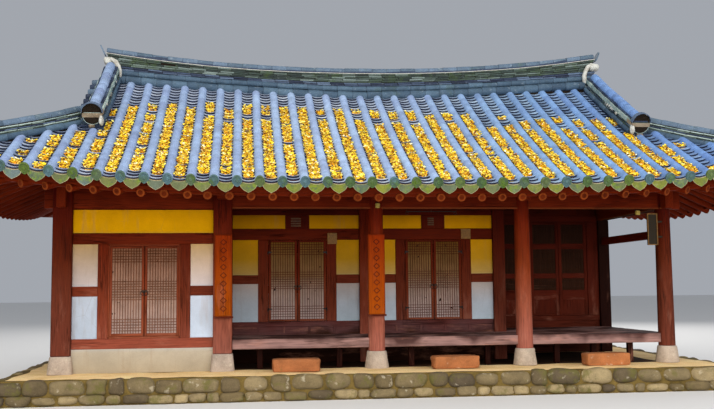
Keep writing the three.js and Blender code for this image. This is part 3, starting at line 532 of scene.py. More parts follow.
def tile(name, stops, moss=0.0, moss_colour=(110, 118, 58), dust=0.25, light_falloff=False):
    """Fired grey tile. Stops run over each tile's own tone. With a light falloff it carries painted light:
    lightest left of the middle, darker toward both ends, darkest and bluest at the right end.
    """
    look = Finish(name, 0.55, 0.2)
    cloud = look.noise(5.0, detail=7, rough=0.65)
    base = look.shade(look.tones(stops), cloud, (0.25, 0.68), (0.5, 0.98), (0.75, 1.22))
    base = look.shade(base, look.noise(64, detail=2, rough=0.8), (0.3, 0.76), (0.5, 0.98), (0.7, 1.18))
    # Painted light: the roof's light falls off toward its ends.
    if light_falloff:
        base = look.shade(base, look.between(look.axis(0), -LIGHT_FALLOFF_REACH, LIGHT_FALLOFF_REACH), *ROOF_LIGHT_FALLOFF)
    bloom = look.between(look.noise(13, detail=6, rough=0.7), 0.55, 0.78)
    base = look.stain(base, bloom, dust, tint(206, 216, 222))
    spots = look.between(look.noise(38, detail=3, rough=0.6), 0.62, 0.72)
    base = look.stain(base, spots, 0.5, tint(58, 66, 74))
    base = look.stain(base, look.mark, 0.75, tint(34, 40, 50))
    patch = look.between(look.noise(3.4, detail=6, rough=0.7), 0.62 - 0.3 * moss, 0.82 - 0.3 * moss)
    thick = look.math("MULTIPLY", patch, min(1.0, moss * 1.3))
    live = look.noise(21, detail=5)
    growth = look.mix(look.between(live, 0.4, 0.62), tint(*moss_colour), tint(66, 82, 60))
    bump = [(look.noise(24, detail=6, rough=0.7), 0.004), (look.math("MULTIPLY", thick, live), 0.012)]
    return look.done(look.mix(thick, base, growth), (cloud, 0.45, 0.85), bump)


def rock(name, stops, moss, grit=0.006):
    """Field stone, one colour for each stone and flecked."""
    look = Finish(name, 0.9, 0.2)
    cloud = look.noise(4.2, detail=7, rough=0.65)
    base = look.shade(look.tones(stops), cloud, (0.25, 0.6), (0.5, 0.98), (0.78, 1.3))
    fleck = look.noise(55, detail=4, rough=0.75)
    base = look.shade(base, fleck, (0.3, 0.8), (0.7, 1.15))
    base = look.stain(base, look.between(look.noise(9), 0.6, 0.7), 0.35, tint(214, 202, 176))
    patch = look.between(look.noise(3.1, detail=6, rough=0.7), 0.66 - moss, 0.8 - moss)
    base = look.stain(base, patch, 0.8, tint(98, 92, 44))
    return look.done(base, bump=[(cloud, 0.02), (fleck, grit)])


def earth(name, colour, other, scale):
    """Mortar, sand or packed earth, and the dark fills that are painted shade."""
    look = Finish(name, 0.95, 0.1)
    cloud = look.noise(scale, detail=8, rough=0.65)
    base = look.ramp(cloud, (0.3, tint(*other)), (0.55, tint(*colour)), (0.8, tint(*colour, 1.2)))
    grit = look.noise(90, detail=3, rough=0.7)
    base = look.shade(base, grit, (0.3, 0.78), (0.7, 1.15))
    return look.done(base, bump=[(cloud, 0.02), (grit, 0.004)])


def leaf_litter():
    """Fallen leaves: one colour for each leaf, from white-yellow to orange and brown; the palest and darkest
    ends are partly painted highlights and painted shade.
    """
    look = Finish("leaf_litter", 0.6, 0.25)
    base = look.tones([
        (0.0, 110, 70, 14), (0.07, 208, 122, 14), (0.18, 244, 188, 20), (0.42, 252, 216, 30),
        (0.7, 255, 228, 76), (0.9, 255, 238, 142), (1.0, 255, 244, 200),
    ])
    vein = look.noise(120, detail=3)
    return look.done(look.shade(base, vein, (0.3, 0.82), (0.7, 1.1)), bump=[(vein, 0.002)])


def leaf_bed():
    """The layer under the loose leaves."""
    look = Finish("leaf_bed", 0.75, 0.15)
    flake = look.axis(0, look.cells(34, "Color"))
    stops = [(0.0, 130, 76, 12), (0.3, 224, 148, 18), (0.65, 246, 196, 36), (1.0, 252, 224, 104)]
    base = look.levels(flake, 1.0, stops)
    edge = look.cells(34)
    # Darker brown at the flakes' edges: painted shade between them.
    base = look.mix(look.between(edge, 0.4, 0.75), base, tint(96, 58, 20))
    return look.done(base, bump=[(edge, -0.01), (look.noise(30), 0.008)])


def paper(name, stops):
    """Old door paper behind a lattice, torn in a few places."""
    look = Finish(name, 0.85, 0.1)
    stain = look.noise(5, detail=6, rough=0.65)
    # Darker and browner upward: partly painted shade under the eaves.
    base = look.shade(look.levels(look.axis(2), 3.0, stops), stain, (0.3, 0.72), (0.65, 1.06))
    hole = look.between(look.noise(9, detail=3), 0.69, 0.7)
    return look.done(look.mix(hole, base, tint(28, 16, 12)), bump=[(stain, 0.004)])


def plain(name, colour, other, roughness=0.5, metal=0.0):
    """Small fittings, with a fine worn pattern."""
    look = Finish(name, roughness, 0.4)
    look.shader.inputs["Metallic"].default_value = metal
    worn = look.noise(30, detail=5, rough=0.65)
    base = look.ramp(worn, (0.35, tint(*other)), (0.62, tint(*colour)))
    return look.done(look.vary(base, 0.15), (worn, roughness - 0.1, roughness + 0.2), [(worn, 0.001)])


# Display colours at heights above the ground
# Upward these colours darken toward the eaves: partly real fading low down, partly painted shade under the
# eaves.
POST_STOPS = [
    (0.7, 158, 92, 76), (1.4, 146, 76, 54), (2.1, 130, 52, 20), (2.7, 106, 28, 4), (3.2, 84, 12, 0),
]
END_STOPS = [(0.7, 108, 53, 38), (1.4, 100, 46, 30), (2.1, 93, 35, 14), (2.7, 84, 20, 2), (3.2, 78, 10, 0)]
RAIL_STOPS = [(0.7, 146, 74, 56), (1.5, 118, 50, 28), (2.3, 106, 33, 8), (3.0, 90, 18, 0), (3.6, 70, 10, 0)]
EAVE_STOPS = [(2.6, 98, 24, 2), (3.3, 110, 32, 4), (4.2, 90, 26, 4)]
LATTICE_STOPS = [(0.9, 137, 98, 82), (1.5, 129, 86, 64), (2.0, 109, 61, 35), (2.5, 90, 46, 17)]
DOOR_STOPS = [(1.0, 120, 88, 80), (1.6, 112, 70, 56), (2.1, 92, 46, 22), (2.6, 74, 30, 8)]
DOOR_FRAME_STOPS = [(1.1, 128, 66, 46), (1.6, 116, 48, 24), (2.1, 104, 32, 8), (2.6, 84, 20, 2)]
FRAME_STOPS = [(0.9, 150, 78, 52), (1.7, 140, 62, 34), (2.5, 116, 46, 22)]
DARK_STOPS = [(0.4, 70, 33, 21), (1.4, 96, 32, 15), (2.6, 78, 19, 5), (3.4, 56, 8, 0)]

# Veranda plaster: dark low down by the floor and dark up under the eaves, both painted shade; the white to
# yellow run between is partly painted light.
VERANDA_STOPS = [
    (0.4, 96, 66, 56), (1.1, 188, 202, 212), (1.4, 188, 194, 202), (1.75, 190, 174, 164),
    (1.95, 192, 154, 80), (2.2, 190, 140, 26), (2.5, 196, 138, 8), (2.8, 202, 140, 2),
    (3.1, 150, 92, 4), (3.6, 60, 26, 6),
]

MATERIALS = {
    # Darker copies of one timber for bays 2 and 3 and the second post: painted shade, their gain setting how
    # deep.
    "rail_2": timber("rail_bay_2_shaded", RAIL_STOPS, gain=0.74),
    "rail_3": timber("rail_bay_3_shaded", RAIL_STOPS, gain=0.86),
    "post": timber("post_timber", POST_STOPS),
    "post_2": timber("second_post_timber_shaded", POST_STOPS, gain=0.8),
    "end_post": timber("end_post_timber", END_STOPS),
    "rail": timber("rail_timber", RAIL_STOPS),
    "eave": timber("eave_timber", EAVE_STOPS, checks=0.3),
    # A darker version of the eave timber, used as painted shade.
    "eave_dark": timber("beam_timber_painted_shade", [(3.0, 112, 34, 8), (3.3, 92, 22, 2), (4.2, 76, 14, 0)], checks=0.3),
    "lattice": timber("lattice_timber", LATTICE_STOPS, 0.25, 0.1),
    "door": timber("door_timber", DOOR_STOPS, 0.3, 0.2),
    "door_frame": timber("door_frame_timber", DOOR_FRAME_STOPS, 0.35, 0.3),
    "frame": timber("frame_timber", FRAME_STOPS, 0.3, 0.3),
    "dark": timber("shaded_timber", DARK_STOPS, 0.4, 0.4),
    # Below the floor the sill timber turns dark: painted shade under the veranda floor.
    "sill": timber(
        "sill_timber", [(0.5, 42, 16, 4), (0.8, 56, 30, 20), (0.92, 102, 65, 63), (1.1, 97, 50, 46),
        (1.3, 86, 36, 24)],
    ),
    # Dark below the edge beam: painted shade under the floor; darker again at the floor's top.
    "plank": timber(
        "floor_plank", [(0.5, 44, 20, 8), (0.7, 152, 117, 110), (0.78, 159, 122, 114),
        (0.9, 78, 52, 48)], 0.4, 0.6,
    ),
    "plaque": timber("plaque_timber", [(1.2, 156, 70, 2), (2.0, 148, 56, 0), (2.6, 140, 40, 0)], 0.25, 0.2),
    # Front plaster: the blue-white low part, cream middle and yellow top are partly painted light, a cool and
    # a warm cast.
    "plaster_1": plaster(
        "plaster_bay_1", [(0.38, 169, 155, 131), (0.7, 183, 171, 151), (0.95, 184, 196, 212),
        (1.55, 188, 196, 208), (1.8, 200, 184, 178), (2.38, 192, 157, 108), (2.62, 214, 154, 0),
        (3.0, 212, 148, 0)],
    ),
    # The bay 2 plaster is the bay 3 plaster darkened: painted shade.
    "plaster_2": plaster("plaster_bay_2_shaded", VERANDA_STOPS, 0.8),
    "plaster_3": plaster("plaster_bay_3", VERANDA_STOPS),
    # The other walls' plaster carries the same painted casts and painted shade toward the eaves.
    "plaster_other": plaster(
        "plaster_other", [(0.38, 178, 160, 140), (0.7, 196, 180, 164), (1.0, 190, 196, 206),
        (1.7, 190, 190, 194), (2.4, 184, 160, 122), (2.7, 188, 140, 40), (3.1, 180, 124, 20),
        (3.8, 150, 98, 30)],
    ),
    "paper": paper("window_paper", [(0.9, 190, 168, 160), (1.6, 175, 140, 120), (2.5, 136, 85, 54)]),
    "door_paper": paper(
        "door_paper", [(1.1, 190, 170, 165), (1.6, 165, 140, 125), (1.9, 132, 100, 64),
        (2.5, 108, 72, 20)],
    ),
    # Barrel and pan tiles carry the painted light falloff across the roof.
    "barrel": tile(
        "barrel_tile", [(0.0, 144, 162, 196), (0.5, 152, 172, 204), (1.0, 160, 182, 212)], 0.04,
        light_falloff=True,
    ),
    "pan": tile(
        "pan_tile", [(0.0, 140, 152, 172), (0.5, 178, 188, 204), (1.0, 206, 214, 224)], 0.05, light_falloff=True,
    ),
    # The dark edge of the pan tiles is painted shade under each lip.
    "lip": tile("pan_tile_edge_shade", [(0.0, 26, 32, 54), (1.0, 44, 52, 74)], 0.0, dust=0.08),
    "disc": tile(
        "eave_disc", [(0.0, 66, 92, 56), (0.35, 88, 108, 40), (0.6, 92, 106, 66), (0.8, 72, 98, 98),
        (1.0, 82, 112, 122)], 0.62, (78, 104, 22),
    ),
    "drip": tile(
        "drip_tile", [(0.0, 76, 92, 78), (0.35, 96, 98, 52), (0.6, 108, 112, 34), (0.8, 86, 92, 56),
        (1.0, 90, 104, 104)], 0.62, (100, 122, 14), 0.12,
    ),
    "rim": tile("tile_rim", [(0.0, 134, 128, 88), (1.0, 162, 150, 116)], 0.1, dust=0.2),
    "cap": tile("ridge_cap", [(0.0, 74, 92, 108), (1.0, 98, 116, 136)], 0.3, (86, 106, 80), 0.35),
    "roll": tile("ridge_roll", [(0.0, 57, 76, 94), (1.0, 78, 100, 118)], 0.3, (66, 84, 62)),
    "course": tile(
        "ridge_course", [(0.0, 28, 36, 56), (0.6, 52, 64, 86), (1.0, 88, 104, 126)], 0.15,
        (76, 92, 42), 0.15,
    ),
    "green": tile(
        "ridge_course_mossy", [(0.0, 32, 42, 42), (0.7, 62, 76, 68), (1.0, 116, 130, 126)], 0.42,
        (66, 86, 40), 0.15,
    ),
    "block": tile("ridge_block", [(0.0, 126, 146, 142), (1.0, 178, 194, 186)], 0.3, (128, 140, 100), 0.2),
    "mortar": earth("lime_mortar", (190, 190, 182), (156, 146, 132), 9.0),
    "clay": earth("roof_clay", (146, 130, 108), (96, 82, 66), 6.0),
    # Dark fill for the ridges' inner bodies, seen in gaps and inside open ends: painted shade.
    "hollow": earth("ridge_core_shade", (40, 32, 24), (24, 18, 12), 8.0),
    "sand": earth("platform_sand", (250, 216, 158), (230, 192, 128), 2.2),
    # Dark earth under the veranda floor: painted shade.
    "damp": earth("shaded_earth", (64, 42, 24), (44, 28, 14), 2.2),
    "joint": earth("stone_joint", (112, 92, 48), (70, 58, 30), 5.0),
    "stone": rock(
        "field_stone", [(0.0, 84, 72, 56), (0.35, 112, 96, 66), (0.7, 124, 108, 78),
        (1.0, 162, 142, 104)], 0.16,
    ),
    "base": rock("base_stone", [(0.0, 170, 154, 140), (1.0, 188, 170, 150)], 0.02, 0.003),
    "step": rock("step_stone", [(0.0, 150, 92, 56), (1.0, 170, 106, 62)], 0.05, 0.004),
    "soffit": timber("soffit_boards", [(2.6, 74, 24, 6), (3.3, 76, 24, 6), (4.4, 58, 18, 4)], 0.4, 0.3),
    "rafter_end": timber("rafter_end_grain", [(2.6, 140, 62, 18), (4.0, 130, 52, 12)], 0.3, 0.5),
    "heart": timber("rafter_heart", [(2.6, 114, 40, 8), (4.0, 100, 34, 4)], 0.4, 0.8),
    "shadow": timber("shadow_timber", [(1.0, 38, 11, 5), (3.2, 30, 7, 0)], 0.4, 0.4),
    "bronze": plain("bronze_plate", (88, 50, 24), (54, 28, 12), 0.5, 0.3),
    "dark_lattice": timber(
        "shaded_lattice", [(1.0, 66, 36, 20), (2.0, 58, 28, 12), (3.0, 44, 18, 8)], 0.3, 0.1,
    ),
    "dark_paper": paper("shaded_paper", [(1.0, 62, 40, 30), (2.0, 52, 30, 18), (3.0, 40, 20, 10)]),
    "olive": plain("olive_board", (44, 32, 8), (30, 20, 6), 0.8),
    "soil": earth("floor_earth", (150, 128, 98), (112, 92, 68), 3.0),
    "iron": plain("iron_ring", (44, 38, 36), (26.4, 22.8, 21.6), 0.45, 0.7),
    "plate": plain("pale_plate", (134, 92, 30), (104, 66, 14), 0.6),
    "vent": plain("vent_slats", (96, 64, 34), (66, 38, 18), 0.7),
    "lamp": plain("lamp_cover", (178, 152, 64), (150, 122, 44), 0.5),
    "leaves": leaf_litter(),
    "leaf_bed": leaf_bed(),
}


# The roof surface, as plan depth in from the eave and reach along the long eave
def eave_lift(reach):
    """How much the eave rises toward the corners."""
    return EAVE_LIFT * (reach / (ROOF_X + 0.15)) ** 3.3


def ridge_lift(reach):
    """How much the ridge's base rises toward its ends."""
    return RIDGE_LIFT * (reach / 4.2) ** 1.35


def lifted(depth, reach):
    part = depth / ROOF_RUN
    return (1 - part) * eave_lift(reach) + part * ridge_lift(reach)


def tile_top(depth, reach):
    """The level of the tile bed, which sags between the eave and the ridge."""
    part = depth / ROOF_RUN
    return EAVE_TOP + ROOF_RISE * (part - ROOF_SAG * part * (1 - part)) + lifted(depth, reach)


def board_under(depth, reach):
    """The level of the rafters' top: a flat lower part and a steep upper one."""
    outer = np.minimum(depth, RAFTER_RUN) - RAFTER_START
    inner = np.maximum(depth - RAFTER_RUN, 0)
    return RAFTER_TOP + RAFTER_SLOPE * outer + UPPER_SLOPE * inner + lifted(depth, reach)


def corner_out(reach):
    """How far the eave sweeps out toward the corners."""
    return CORNER_OUT * (reach / (ROOF_X + CORNER_OUT)) ** 6


class Slope:
    """One roof slope: along its eave, and depth in from it."""

    def __init__(self, inward, edge, half, main, top, shift, pitch):
        self.inward = np.array(inward, float)
        self.along = np.cross(self.inward, (0, 0, 1))
        self.edge, self.half, self.main = edge, half, main
        self.top, self.shift, self.pitch = top, shift, pitch

    def ground(self, along, depth, z):
        """World points over plan places."""
        along, depth, z = np.broadcast_arrays(along, depth, z)
        points = along[..., None] * self.along + (depth - self.edge)[..., None] * self.inward
        points[..., 2] += z
        return points

    def surface(self, along, depth, height):
        """World points at a height square off the tile bed."""
        along, depth, height = np.broadcast_arrays(along, depth, height)
        reach = np.abs(along) + self.shift
        rise = (tile_top(depth + 0.01, reach) - tile_top(depth - 0.01, reach)) / 0.02
        tilt = np.arctan(rise)
        level = tile_top(depth, reach) + height * np.cos(tilt)
        return self.ground(along, depth - height * np.sin(tilt), level)

    def out(self, along):
        """The depth of the eave's edge, which sweeps out at the corners."""
        return -corner_out(abs(along) + self.shift)

    def inner(self, along, clear):
        """The depth where a row ends at the hip or under the ridge."""
        hip = self.half - abs(along)
        return hip - clear if abs(along) > self.main else self.top - clear

    def rows(self, shift):
        """Places of the tile rows along the eave: shift is 0 for covers and 0.5 for the valleys."""
        count = int((self.half - 0.2) / self.pitch - shift) + 1
        places = [(index + shift) * self.pitch for index in range(-count - 1, count + 1)]
        return [place for place in places if abs(place) < self.half - 0.16]


LONG_PITCH = 0.3235
SHORT_PITCH = (ROOF_Y - ROOF_X + 20 * LONG_PITCH) / 11
LONG = (ROOF_Y, ROOF_X, GABLE_X, ROOF_Y, 0, LONG_PITCH)
SHORT = (ROOF_X, ROOF_Y, GABLE_X - HIP_SHIFT, ROOF_X - GABLE_X, HIP_SHIFT, SHORT_PITCH)
SLOPES = {
    "front": Slope((0, 1, 0), *LONG),
    "rear": Slope((0, -1, 0), *LONG),
    "left": Slope((1, 0, 0), *SHORT),
    "right": Slope((-1, 0, 0), *SHORT),
}

# Tiles: lengths along the slope, whose plan is shorter by the cosine of its mean angle
MEAN_TILT = math.cos(0.45)
COVER_LENGTH = 0.3
COVER_CLEAR = 0.12
COVER_RADIUS = 0.074
COVER_CENTRE = 0.034
PAN_EXPOSED = 0.13
PAN_HALF = 0.11
PAN_THICK = 0.02
DISC_WIDE = 0.072
DISC_TALL = 0.079


def cover_end(slope, along):
    """The depth where a row of cover tiles stops."""
    reach = abs(along) + slope.shift
    if slope.top > 3 and reach > DESCENT_X - COVER_CLEAR:
        past = reach > DESCENT_X + COVER_CLEAR
        return slope.inner(along, COVER_CLEAR) if past else ROOF_Y - DESCENT_END + COVER_CLEAR
    return slope.inner(along, COVER_CLEAR if reach > slope.main + slope.shift else 0.1)


def cover_outline(steps, leg):
    """A half circle on two short legs, for a radius of 1."""
    turn = np.radians(np.linspace(-90, 90, steps))
    arc = np.column_stack([np.sin(turn), np.cos(turn)])
    return np.vstack([[[-1.0, -leg]], arc, [[1.0, -leg]]])


def cover_rows(slope):
    """Rows of half-round tiles, each one lapping over the next."""
    piece = Piece()
    section = cover_outline(11, 0.055 / COVER_RADIUS)
    rings = [(0.0, 0.98), (0.015, 1.0), (1.02, 0.985)]
    for along in slope.rows(0):
        start = slope.out(along) - 0.03
        end = cover_end(slope, along)
        if end - start < 0.12:
            continue
        count, step = shares(start, end, COVER_LENGTH * MEAN_TILT)
        lean = draw.normal(size=count) * 0.0018
        sink = draw.normal(size=count) * 0.0012
        points = np.zeros((count, len(rings), len(section), 3))
        marks = np.zeros((count, len(rings), len(section)))
        for index in range(count):
            for ring, (place, size) in enumerate(rings):
                depth = start + (index + place) * step
                across = section[:, 0] * COVER_RADIUS * size + along + lean[index]
                height = section[:, 1] * COVER_RADIUS * size + COVER_CENTRE + sink[index]
                points[index, ring] = slope.surface(across, min(depth, end + 0.02), height)
            marks[index, 0] = 0.3
        size = len(rings) * len(section)
        faces = ring_faces(len(rings), len(section))
        piece.copies(points.reshape(count, size, 3), faces, mark=marks.reshape(count, size))
    return piece


def pan_rows(slope):
    """Hollow tiles in the valleys, each lower edge lying proud of the next."""
    piece = Piece()
    across = np.linspace(-1, 1, 5)
    curve = 0.026 * across**2
    for along in slope.rows(0.5):
        start = slope.out(along) - 0.02
        end = slope.inner(along, 0.1)
        if end - start < 0.1:
            continue
        count, step = shares(start, end, PAN_EXPOSED * MEAN_TILT)
        size = 2 * len(across)
        points = np.zeros((count, 2, size, 3))
        for index in range(count):
            shake = draw.normal() * 0.0018
            for ring, (place, lift) in enumerate(((-0.06, 0.05), (1.02, 0.018))):
                depth = start + (index + place) * step
                thick = PAN_THICK if ring == 0 else 1.5 * PAN_THICK
                top = slope.surface(along + across * PAN_HALF, depth, curve + lift + shake)
                height = curve[::-1] + lift - thick
                under = slope.surface(along + across[::-1] * PAN_HALF, depth, height)
                points[index, ring] = np.vstack([top, under])
        faces = strip_faces(2, size)
        # The end faces take the dark edge tile: painted shade under each lip.
        piece.copies(points.reshape(count, 2 * size, 3), faces, kind=[0, 1, 1])
    return piece


def disc_ends(slope, piece):
    """A round end tile with a raised rim at the foot of each cover row."""
    circle = around(20, (0, 1), (1, 0))
    profile = [
        (0.02, 0.9), (-0.012, 1.0), (-0.03, 1.0), (-0.034, 0.95), (-0.034, 0.84), (-0.026, 0.8),
        (-0.026, 0.36), (-0.034, 0.26), (-0.034, 0.1),
    ]
    for along in slope.rows(0):
        start = slope.out(along) - 0.03
        rings = []
        tip = 1 + 0.17 * np.clip(-circle[:, 1], 0, 1) ** 12
        for place, size in profile:
            across = along + circle[:, 0] * size * DISC_WIDE
            height = COVER_CENTRE + 0.034 + circle[:, 1] * tip * size * DISC_TALL
            rings.append(slope.surface(across, start + place, height))
        marks = np.repeat([0, 0, 0, 0, 0.0, 0.35, 0.2, 0.0, 0.0], len(circle))
        loft(piece, rings, mark=marks)


def drip_outline():
    """Half the drip tile's face as across and down: round shoulders that run to a point."""
    shoulder = [(1.0, 0.04), (1.0, -0.16), (0.97, -0.34), (0.88, -0.5), (0.74, -0.64), (0.56, -0.76)]
    point = [(0.36, -0.86), (0.18, -0.94), (0.0, -1.02)]
    return shoulder + point


def drip_ends(slope, piece):
    """The hanging tongue at the foot of each valley, with a pale rim."""
    half = drip_outline()
    mirror = [(-across, down) for across, down in half[-2::-1]]
    top = [(across, 0.04 - 0.2 * (1 - across**2)) for across in (-0.66, -0.33, 0.0, 0.33, 0.66)]
    outline = np.array(half + mirror + top)
    middle = np.array([0.0, -0.42])
    face = [(0.016, 1.0), (-0.006, 1.0), (-0.01, 0.98), (-0.01, 0.92)]
    field = [(-0.0105, 0.925), (-0.004, 0.9), (-0.006, 0.3)]
    width, drop = 0.125, 0.156
    for along in slope.rows(0.5):
        start = slope.out(along) - 0.03
        tone = draw.random()

        def ring(place, size):
            shape = middle + (outline - middle) * size
            down = shape[:, 1] * drop
            base = slope.surface(along + shape[:, 0] * width, start + place, 0.046)
            base += np.outer(down, (0, 0, 1)) + np.outer(down, slope.inward) * 0.18
            return base

        for profile, kind in ((face, 2), (field, 1)):
            loft(piece, [ring(place, size) for place, size in profile], tone, kind=kind)


LEAVES_PER_METRE = 1050


def litter(slope, piece, bed, share):
    """Fallen leaves packed along the valleys, in stretches with bare gaps between."""
    outline = np.radians([90, 38, -20, -90, -160, 142])
    spread = np.array([0.72, 1.0, 0.86, 0.34, 0.86, 1.0])
    shape = np.column_stack([np.cos(outline) * spread, np.sin(outline) * spread])
    for along in slope.rows(0.5):
        low = slope.out(along) + draw.uniform(0.06, 0.3)
        full, sparse = 1.9, 1.0
        if slope.shift == 0:
            full = 3.22 - 0.17 * max(0.0, along - 0.4) - 0.25 * max(0.0, -along - 2.8)
            sparse = max(0.0, along - 2.6) * 1.1 + max(0.0, -along - 4.2) * 0.8
        high = min(full, slope.inner(along, 0.3)) - abs(draw.normal()) * 0.1
        if high - low < 0.2:
            continue
        places = np.arange(low, high, 0.02)
        keep = np.ones(len(places), bool)
        for _ in range(draw.poisson(1.6 + 1.6 * sparse + 5 * (1 - share))):
            middle = draw.uniform(low + 0.2, high)
            keep &= abs(places - middle) > draw.uniform(0.02, 0.05 + 0.04 * sparse)
        for _ in range(draw.poisson(3.5)):
            middle = draw.uniform(low + 0.2, high)
            keep &= abs(places - middle) > 0.017
        if draw.random() < 0.5:
            middle = high - draw.uniform(0.3, 0.55)
            keep &= abs(places - middle) > draw.uniform(0.08, 0.18)
        for start, end in stretches(places, keep):
            if end - start < 0.07:
                continue
            add_bed(slope, bed, along, start, end)
            area = (end - start) * 0.16
            count = int(area * LEAVES_PER_METRE)
            depth = draw.uniform(start - 0.002, end + 0.002, count)
            across = along + draw.uniform(-0.078, 0.078, count)
            height = 0.054 + 0.024 * ((across - along) / 0.1) ** 2 + draw.random(count) * 0.022
            centre = slope.surface(across, depth, height)
            # Clumps share a tone so whole clumps read lighter or darker: partly the leaves' own colour,
            # partly painted light and shade.
            clump = 0.5 + 0.2 * np.sin(depth * 31 + along * 7) + 0.14 * np.sin(depth * 13 + across * 60)
            add_leaves(piece, centre, shape, slope, np.clip(clump + draw.normal(size=count) * 0.24, 0, 1))


def stretches(places, keep):
    """Runs of kept places, as start and end."""
    runs = []
    start = None
    for place, kept in zip(places, keep):
        if kept and start is None:
            start = place
        if not kept and start is not None:
            runs.append((start, place))
            start = None
    if start is not None:
        runs.append((start, places[-1]))
    return runs


def add_bed(slope, bed, along, start, end):
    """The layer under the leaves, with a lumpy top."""
    half = 0.066
    across = np.linspace(-1, 1, 7)
    places = np.linspace(start, end, max(3, int((end - start) / 0.05) + 1))
    rings = []
    for index, depth in enumerate(places):
        swell = 0.2 if index in (0, len(places) - 1) else 1.0
        top = 0.032 + swell * (0.022 + draw.random(7) * 0.016) + 0.018 * across**2
        upper = slope.surface(along + across * half, depth, top)
        under = slope.surface(along + across[::-1] * half, depth, 0.012 + 0.016 * across[::-1] ** 2)
        rings.append(np.vstack([upper, under]))
    bed.add(np.array(rings), strip_faces(len(rings), 14))


def add_leaves(piece, centre, shape, slope, tone):
    """Small fan leaves, each a thin closed flake that lies nearly flat."""
    count = len(centre)
    if not count:
        return
    size = draw.uniform(0.017, 0.03, count)
    spin = draw.uniform(0, 2 * math.pi, count)
    lean = draw.normal(size=(count, 2)) * 0.38
    along = slope.along * np.ones((count, 1)) + np.outer(lean[:, 0], (0, 0, 1))
    inward = slope.inward * np.ones((count, 1)) + np.outer(0.5 + lean[:, 1], (0, 0, 1))
    along /= np.linalg.norm(along, axis=1)[:, None]
    inward /= np.linalg.norm(inward, axis=1)[:, None]
    above = np.cross(along, inward)
    first = along * np.cos(spin)[:, None] + inward * np.sin(spin)[:, None]
    second = inward * np.cos(spin)[:, None] - along * np.sin(spin)[:, None]
    rim = len(shape)
    points = np.zeros((count, rim + 2, 3))
    for index, (x, y) in enumerate(shape):
        curl = 0.22 * (x * x + y * y)
        points[:, index] = centre + (first * x + second * y + above * curl) * size[:, None]
    points[:, rim] = centre + above * 0.0022
    points[:, rim + 1] = centre - above * 0.0022
    after = [(index + 1) % rim for index in range(rim)]
    faces = [[index, after[index], rim] for index in range(rim)]
    faces += [[after[index], index, rim + 1] for index in range(rim)]
    piece.copies(points, [faces], tone)


def roof_tiles():
    for name, slope in SLOPES.items():
        cover_rows(slope).build(f"cover_tiles_{name}", "barrel", "tile")
        pan_rows(slope).build(f"pan_tiles_{name}", "pan lip", "tile")
        ends, leaves, bed = Piece(), Piece(), Piece()
        disc_ends(slope, ends)
        drip_ends(slope, ends)
        ends.build(f"eave_tiles_{name}", "disc drip rim", "tile")
        share = {"front": 1.0, "rear": 0.72}.get(name, 0.6)
        litter(slope, leaves, bed, share)
        leaves.build(f"fallen_leaves_{name}", "leaves", "tile", sharp=60)
        bed.build(f"leaf_bed_{name}", "leaf_bed", "tile", sharp=60)


# Boards and rafters under the tiles
def strips(slope):
    """Places along the eave of the strips that make up a slope."""
    edge = slope.half + CORNER_OUT
    inside = np.linspace(-slope.main, slope.main, 2 * math.ceil(slope.main / 0.4) + 1)
    outside = np.linspace(slope.main, edge, math.ceil((edge - slope.main) / 0.25) + 1)[1:]
    return np.concatenate([-outside[::-1], inside, outside])


def roof_deck(slope):
    """The clay bed over the boards, closed below by the soffit and at the eave by its battens."""
    piece = Piece()
    rows = 12
    alongs = strips(slope)
    columns = []
    for along in alongs:
        near = slope.out(min(abs(along), slope.half)) + 0.265
        far = slope.inner(along, 0.0)
        columns.append(np.linspace(near, max(far, near + 0.004), rows))
    depth = np.array(columns)
    along = np.clip(np.repeat(alongs[:, None], rows, 1), -slope.half, slope.half)
    reach = np.abs(along) + slope.shift
    upper = slope.ground(along, depth, tile_top(depth, reach) - 0.006).reshape(-1, 3)
    lower = slope.ground(along, depth, board_under(depth, reach)).reshape(-1, 3)
    slab(piece, upper, lower, 0.5, along.shape, [0, 1, 1])
    return piece


def eave_battens(slope, piece):
    """The squared batten over the rafter ends and the notched board that carries the tiles."""
    edge = slope.half - 0.02
    alongs = np.linspace(-edge, edge, 2 * math.ceil(edge / 0.3) + 1)
    for near, deep, low, high in ((0.255, 0.1, -0.005, 0.085), (0.2, 0.05, 0.058, 0.0)):
        rings = []
        grain = []
        for along in alongs:
            reach = abs(along) + slope.shift
            depth = slope.out(along) + near
            under = board_under(depth, reach)
            top = under + high if high else tile_top(depth, reach) + 0.012
            corners = [(depth, under + low), (depth + deep, under + low), (depth + deep, top), (depth, top)]
            rings.append([slope.ground(along, d, z) for d, z in corners])
            grain.append([(along, d, z) for d, z in ((0, 0), (deep, 0), (deep, 0.1), (0, 0.1))])
        loft(piece, rings, 0.6, grain=grain)


FAN_PITCH = 0.338
RAFTER_ASIDE = -0.028


def straight_count(slope):
    """How many rafters on each side of the middle run straight up the slope."""
    return math.floor((2.9 if slope.shift == 0 else slope.main - 0.2) / RAFTER_PITCH)


def rafter_ends(slope, along):
    """The outer and inner end of the rafter that starts at this place along the eave."""
    first = (straight_count(slope) + 0.5) * RAFTER_PITCH

    def axis(place, depth):
        reach = abs(place) + slope.shift
        return slope.ground(place, depth, board_under(depth, reach) - RAFTER_SINK)

    if abs(along) < first - 0.01:
        inner = ROOF_Y - 0.7 if slope.shift == 0 else 2.2
        return axis(along, RAFTER_TIP), axis(along, inner)
    root = math.copysign(first - 0.04 + (abs(along) - first) * (0.3 if slope.shift == 0 else 0.12), along)
    start = RAFTER_TIP - corner_out(abs(along) + slope.shift)
    return axis(along, start), axis(root, 1.9)


